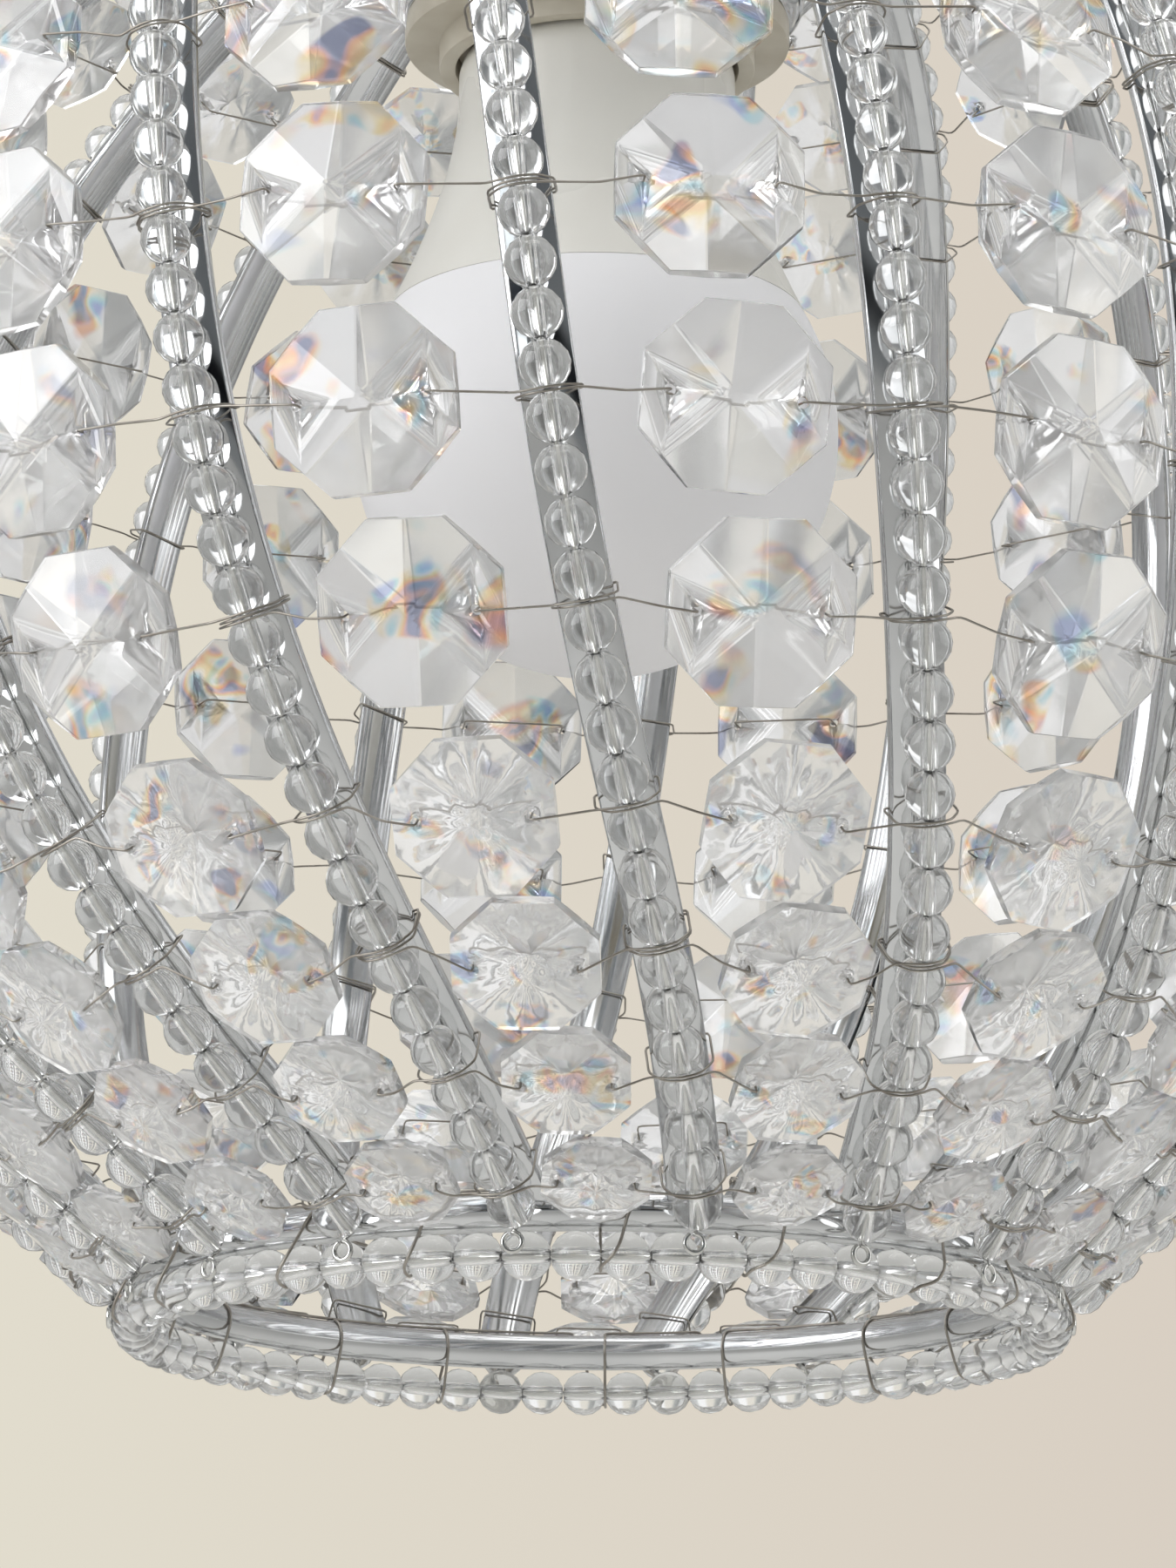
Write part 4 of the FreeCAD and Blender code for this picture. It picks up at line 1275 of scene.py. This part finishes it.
def threaded(outer: float, wall: float, low: float, high: float, depth: float,
             pitch: float = 2.82, segments: int = 48
             ) -> tuple[list[Vector], list[tuple[int, ...]]]:
    """Points and faces of a thin tube with a rolled Edison thread.

    Args:
        outer: Crest radius.
        wall: Sheet thickness.
        low: Height of the lower end.
        high: Height of the upper end.
        depth: Depth of the thread.
        pitch: Rise of the thread in one turn.
        segments: Faces round the tube.

    Returns:
        Points in millimetres, and faces.
    """
    steps = int((high - low) / 0.3)
    sections = []
    for inside in (False, True):
        for k in range(steps + 1):
            t = k / steps if not inside else 1 - k / steps
            z = low + (high - low) * t
            fade = min(1.0, 8 * t, 8 * (1 - t))
            ring = []
            for m in range(segments):
                a = 2 * math.pi * m / segments
                wave = 0.5 - 0.5 * math.cos(2 * math.pi * (z / pitch) - a)
                r = outer - depth * wave * fade - (wall if inside else 0.0)
                ring.append(Vector((r * math.cos(a), r * math.sin(a), z)))
            sections.append(ring)
    return loft(sections, True)


@dataclass
class Lamp:
    """Golf-ball lamp: frosted ball, white housing, threaded cap and its insides."""

    bench: Bench
    ball: float = 24.2
    centre: float = 85.6
    wall: float = 1.2
    join: float = 21.0
    neck: float = 14.0
    neck_from: float = 120.0
    neck_top: float = 127.0
    neck_round: float = 4.0
    flare_curve: float = 1.6
    housing_wall: float = 1.6
    cap: float = 6.95
    cap_wall: float = 0.4
    cap_seat: float = 7.0
    tip_low: float = 147.28
    glass: float = 2.6
    gap: float = 0.02

    def build(self) -> None:
        """Builds the lamp's pieces."""
        join = self.centre + math.sqrt(self.ball ** 2 - self.join ** 2)
        inner = self.ball - self.wall
        arc = math.asin((join - self.centre) / self.ball)
        inner_arc = math.asin((join - self.centre) / inner)
        steps = 40
        outline = [(self.ball * math.cos(-math.pi / 2 + (arc + math.pi / 2) * k / steps),
                    self.centre + self.ball
                    * math.sin(-math.pi / 2 + (arc + math.pi / 2) * k / steps))
                   for k in range(steps + 1)]
        outline += [(inner * math.cos(inner_arc - (inner_arc + math.pi / 2) * k / steps),
                     self.centre + inner
                     * math.sin(inner_arc - (inner_arc + math.pi / 2) * k / steps))
                    for k in range(steps + 1)]
        outline[0] = (0.0, outline[0][1])
        outline[-1] = (0.0, outline[-1][1])
        points, faces = lathe(outline, 128, False)
        made = self.bench.mesh("frosted_ball", points, faces)
        self.bench.dress(made, OPAL, Body.LAMP, "opal_plastic", "lamp_diffuser")
        self.housing(join)
        shell_low = self.neck_top + self.gap
        glass_low = self.tip_low - self.glass
        points, faces = threaded(self.cap, self.cap_wall, shell_low, glass_low, 0.45)
        made = self.bench.mesh("cap_shell_thread", points, faces)
        self.bench.dress(made, NICKEL, Body.LAMP, "nickel", "lamp_cap_shell")
        self.bench.dress_node("lamp_cap_insulator", BLACK_PLASTIC, "black_plastic")
        self.bench.dress_node("lamp_tip", NICKEL, "nickel")
        self.bench.dress_node("led_board", BOARD, "board")

    def housing(self, join: float) -> None:
        """Builds the white housing with its smooth flare and rounded shoulder."""
        outline = []
        for k in range(25):
            t = k / 24
            outline.append((self.neck + (self.join + 0.05 - self.neck)
                            * (1 - t) ** self.flare_curve,
                            join + self.gap + (self.neck_from - join) * t))
        inner = [(r - self.housing_wall, z) for r, z in outline]
        for k in range(1, 13):
            a = math.radians(90 * k / 12)
            outline.append((self.neck - self.neck_round * (1 - math.cos(a)),
                            self.neck_top - self.neck_round * (1 - math.sin(a))))
        nose = self.cap - self.cap_wall - self.gap
        top = self.neck_top + self.gap + self.cap_seat
        outline += [(nose - 0.45, self.neck_top), (nose - 0.45, top), (nose - 1.6, top),
                    (nose - 1.6, inner[-1][1])]
        points, faces = lathe(outline + inner[::-1], 128, True)
        made = self.bench.mesh("white_housing", points, faces)
        self.bench.dress(made, WHITE_PLASTIC, Body.LAMP, "white_plastic", "lamp_housing")


# Studio.
@dataclass
class Studio:
    """Pale floor, soft light, a cream background with painted shade towards the right, and the
    camera.
    """

    bench: Bench
    floor_drop: float = 1.3
    floor_size: float = 30.0
    camera_at: tuple[float, float, float] = (-0.0006, -0.5414, -0.2665)
    pitch: float = 14.09
    roll: float = 0.25
    lens: float = 130.48
    # Painted glint window, seen only in reflections: its brightness, azimuth and half width in
    # degrees.
    painted_glint_strength: float = 7.0
    painted_glint_azimuth: float = -142.0
    painted_glint_half_width: float = 7.0

    def build(self) -> None:
        """Builds the stage, the lamps and the camera."""
        self.floor()
        self.world()
        self.light("left_window", (-1.6, -0.7, 0.5), 1.4, 24.0, "#fdfdff")
        self.light("right_window", (1.7, -0.3, 0.3), 1.4, 9.0, "#fdfdfd")
        self.light("top_soft", (0.1, -0.2, 1.9), 1.6, 16.0, "#ffffff")
        self.camera()

    def floor(self) -> None:
        """Plain pale floor, far below; metal and glass see a painted reflection of it in a
        darker grey.
        """
        points, faces = lathe([(0.0, 0.0), (self.floor_size / 2 / MM, 0.0)], 96, False)
        made = self.bench.mesh("floor", points, faces, turn=False)
        made.data.transform(Matrix.Translation((0, 0, -self.floor_drop
                                                - self.bench.ring_height)))
        paint = bpy.data.materials.new("pale_floor_paint")
        paint.use_nodes = True
        tree = paint.node_tree
        # Painted reflection: glossy rays see the floor in a darker grey than other rays do.
        paths = add_node(tree, "ShaderNodeLightPath")
        tone = add_node(tree, "ShaderNodeMix", {"data_type": "RGBA"}, {
            "Factor": paths.outputs["Is Glossy Ray"], 6: linear("#e9e6e1"),
            7: linear("#dcdbd7")})
        shader = tree.nodes["Principled BSDF"]
        tree.links.new(tone.outputs[2], shader.inputs["Base Color"])
        shader.inputs["Roughness"].default_value = 0.9
        made.data.materials.append(paint)

    def world(self) -> None:
        """Cream wall behind, with painted shade towards its right, and the room that lights the
        object from all sides.

        Glass sees a painted room of its own, with one lighter and one darker side, which paints
        dark rims and bright bars into the beads. Metal sees a painted reflection: a grey room
        with a painted level band of near black and one tall bright window that paints glints
        and lights nothing.
        """
        sky = bpy.data.worlds.new("cream_room")
        bpy.context.scene.world = sky
        sky.use_nodes = True
        tree = sky.node_tree
        tree.nodes.clear()
        way = add_node(tree, "ShaderNodeTexCoord").outputs["Generated"]
        apart = add_node(tree, "ShaderNodeSeparateXYZ", feeds={"Vector": way})
        # Painted shade on the cream wall that only the camera sees: darker towards the right.
        across = add_node(tree, "ShaderNodeMapRange", feeds={
            "Value": apart.outputs["X"], "From Min": -0.12, "From Max": 0.12})
        wall = ramp(tree, across.outputs["Result"], [(0.0, "#e2ddce"), (1.0, "#d8cec2")])
        back = add_node(tree, "ShaderNodeMapRange", feeds={
            "Value": apart.outputs["Y"], "From Min": -0.9, "From Max": 0.9}).outputs["Result"]
        height = add_node(tree, "ShaderNodeMapRange", feeds={
            "Value": apart.outputs["Z"], "From Min": -0.2, "From Max": 1.0}).outputs["Result"]
        soft = ramp(tree, back, [(0.0, "#c9cbce"), (1.0, "#dad9d6")])
        ratio = add_node(tree, "ShaderNodeMath", {"operation": "DIVIDE"}, {
            0: apart.outputs["X"], 1: apart.outputs["Y"]})
        beside = add_node(tree, "ShaderNodeMapRange", feeds={
            "Value": ratio.outputs["Value"], "From Min": -1.0}).outputs["Result"]
        # Painted room seen only through glass: a shaded band beside the view and a white band,
        # which paint dark rims and bright bars into the beads.
        through = ramp(tree, beside, [
            (0.0, "#c9caca"), (0.24, "#d4d5d4"), (0.3, "#898c8b"), (0.38, "#a6a8a7"),
            (0.45, "#e6e2d8"), (0.55, "#e6e2d8"), (0.61, "#ffffff"), (0.76, "#ffffff"),
            (0.84, "#cfd0d0"), (1.0, "#c2c4c4")])
        # Painted reflection for glossy rays: a grey room, darker at the front and pale behind.
        painted_reflection = ramp(tree, back, [(0.0, "#828586"), (0.3, "#949798"), (0.55, "#e4e4e4"),
                                  (1.0, "#e6e2d8")])
        # Painted near-black level band just above level, seen only in reflections, which paints
        # a dark line into the chrome.
        dark = ramp(tree, height, [(0.16, "#ffffff"), (0.2, "#2a2c31"), (0.27, "#1c1e22"),
                                   (0.32, "#e8e9ea"), (0.6, "#c2c4c7"), (1.0, "#ffffff")])
        painted_reflection = add_node(tree, "ShaderNodeMix", {"data_type": "RGBA", "blend_type": "MULTIPLY"},
                         {"Factor": 1.0, 6: painted_reflection, 7: dark}).outputs[2]
        paths = add_node(tree, "ShaderNodeLightPath")
        seen = soft
        for ray, look in (("Is Glossy Ray", painted_reflection), ("Is Transmission Ray", through),
                          ("Is Camera Ray", wall)):
            seen = add_node(tree, "ShaderNodeMix", {"data_type": "RGBA"}, {
                "Factor": paths.outputs[ray], 6: seen, 7: look}).outputs[2]
        # Painted glints: a tall window to the front left that only glossy rays see. It is
        # several times as bright as the room and lights nothing.
        turned = add_node(tree, "ShaderNodeMath", {"operation": "ARCTAN2"}, {
            0: apart.outputs["X"], 1: apart.outputs["Y"]})
        near = add_node(tree, "ShaderNodeMath", {"operation": "COMPARE"}, {
            0: turned.outputs["Value"], 1: math.radians(self.painted_glint_azimuth),
            2: math.radians(self.painted_glint_half_width)})
        strip = add_node(tree, "ShaderNodeMath", {"operation": "MULTIPLY"}, {
            0: near.outputs["Value"], 1: paths.outputs["Is Glossy Ray"]})
        level = add_node(tree, "ShaderNodeMath", {"operation": "MULTIPLY_ADD"}, {
            0: strip.outputs["Value"], 1: self.painted_glint_strength, 2: 1.0})
        glow = add_node(tree, "ShaderNodeBackground", feeds={
            "Color": seen, "Strength": level.outputs["Value"]})
        add_node(tree, "ShaderNodeOutputWorld", feeds={"Surface": glow.outputs["Background"]})

    def light(self, name: str, at: tuple[float, float, float], size: float, power: float,
              colour: str) -> None:
        """Adds one large soft lamp that looks at the globe."""
        data = bpy.data.lights.new(name, "AREA")
        data.shape = "SQUARE"
        data.size = size
        data.energy = power
        data.color = linear(colour)[:3]
        lamp = bpy.data.objects.new(name, data)
        lamp.location = at
        aim = Vector((0.0, 0.0, -0.1)) - Vector(at)
        lamp.rotation_euler = aim.to_track_quat("-Z", "Y").to_euler()
        bpy.context.scene.collection.objects.link(lamp)

    def camera(self) -> None:
        """Adds the camera where the photograph was taken from."""
        data = bpy.data.cameras.new("camera")
        data.sensor_fit = "VERTICAL"
        data.sensor_height = 36.0
        data.lens = self.lens
        view = bpy.data.objects.new("camera", data)
        tilt = Matrix.Rotation(math.radians(90 + self.pitch), 4, "X")
        roll = Matrix.Rotation(math.radians(self.roll), 4, "Z")
        view.matrix_world = Matrix.Translation(self.camera_at) @ tilt @ roll
        bpy.context.scene.collection.objects.link(view)
        bpy.context.scene.camera = view
        bpy.context.scene.view_settings.view_transform = "Standard"


def main() -> None:
    """Builds the pendant's looks in order, then the studio."""
    logging.basicConfig(level=logging.INFO, format="%(name)s %(message)s")
    low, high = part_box("bottom_ring")
    bench = Bench((low.z + high.z) / 2)
    globe = Globe()
    scatter, wire = scatter_tree(), wire_tree()
    RibCage(globe, bench).build()
    beads = BeadStrings(globe, bench, scatter, wire)
    beads.build()
    CrystalRows(globe, bench, scatter, wire).build()
    RingString(globe, bench, beads).build()
    carrier = Carrier(globe, bench)
    carrier.build()
    Holder(bench, carrier).build()
    Lamp(bench).build()
    Studio(bench).build()
    log.info("%d pieces", bench.made)


if __name__ == "__main__":
    main()
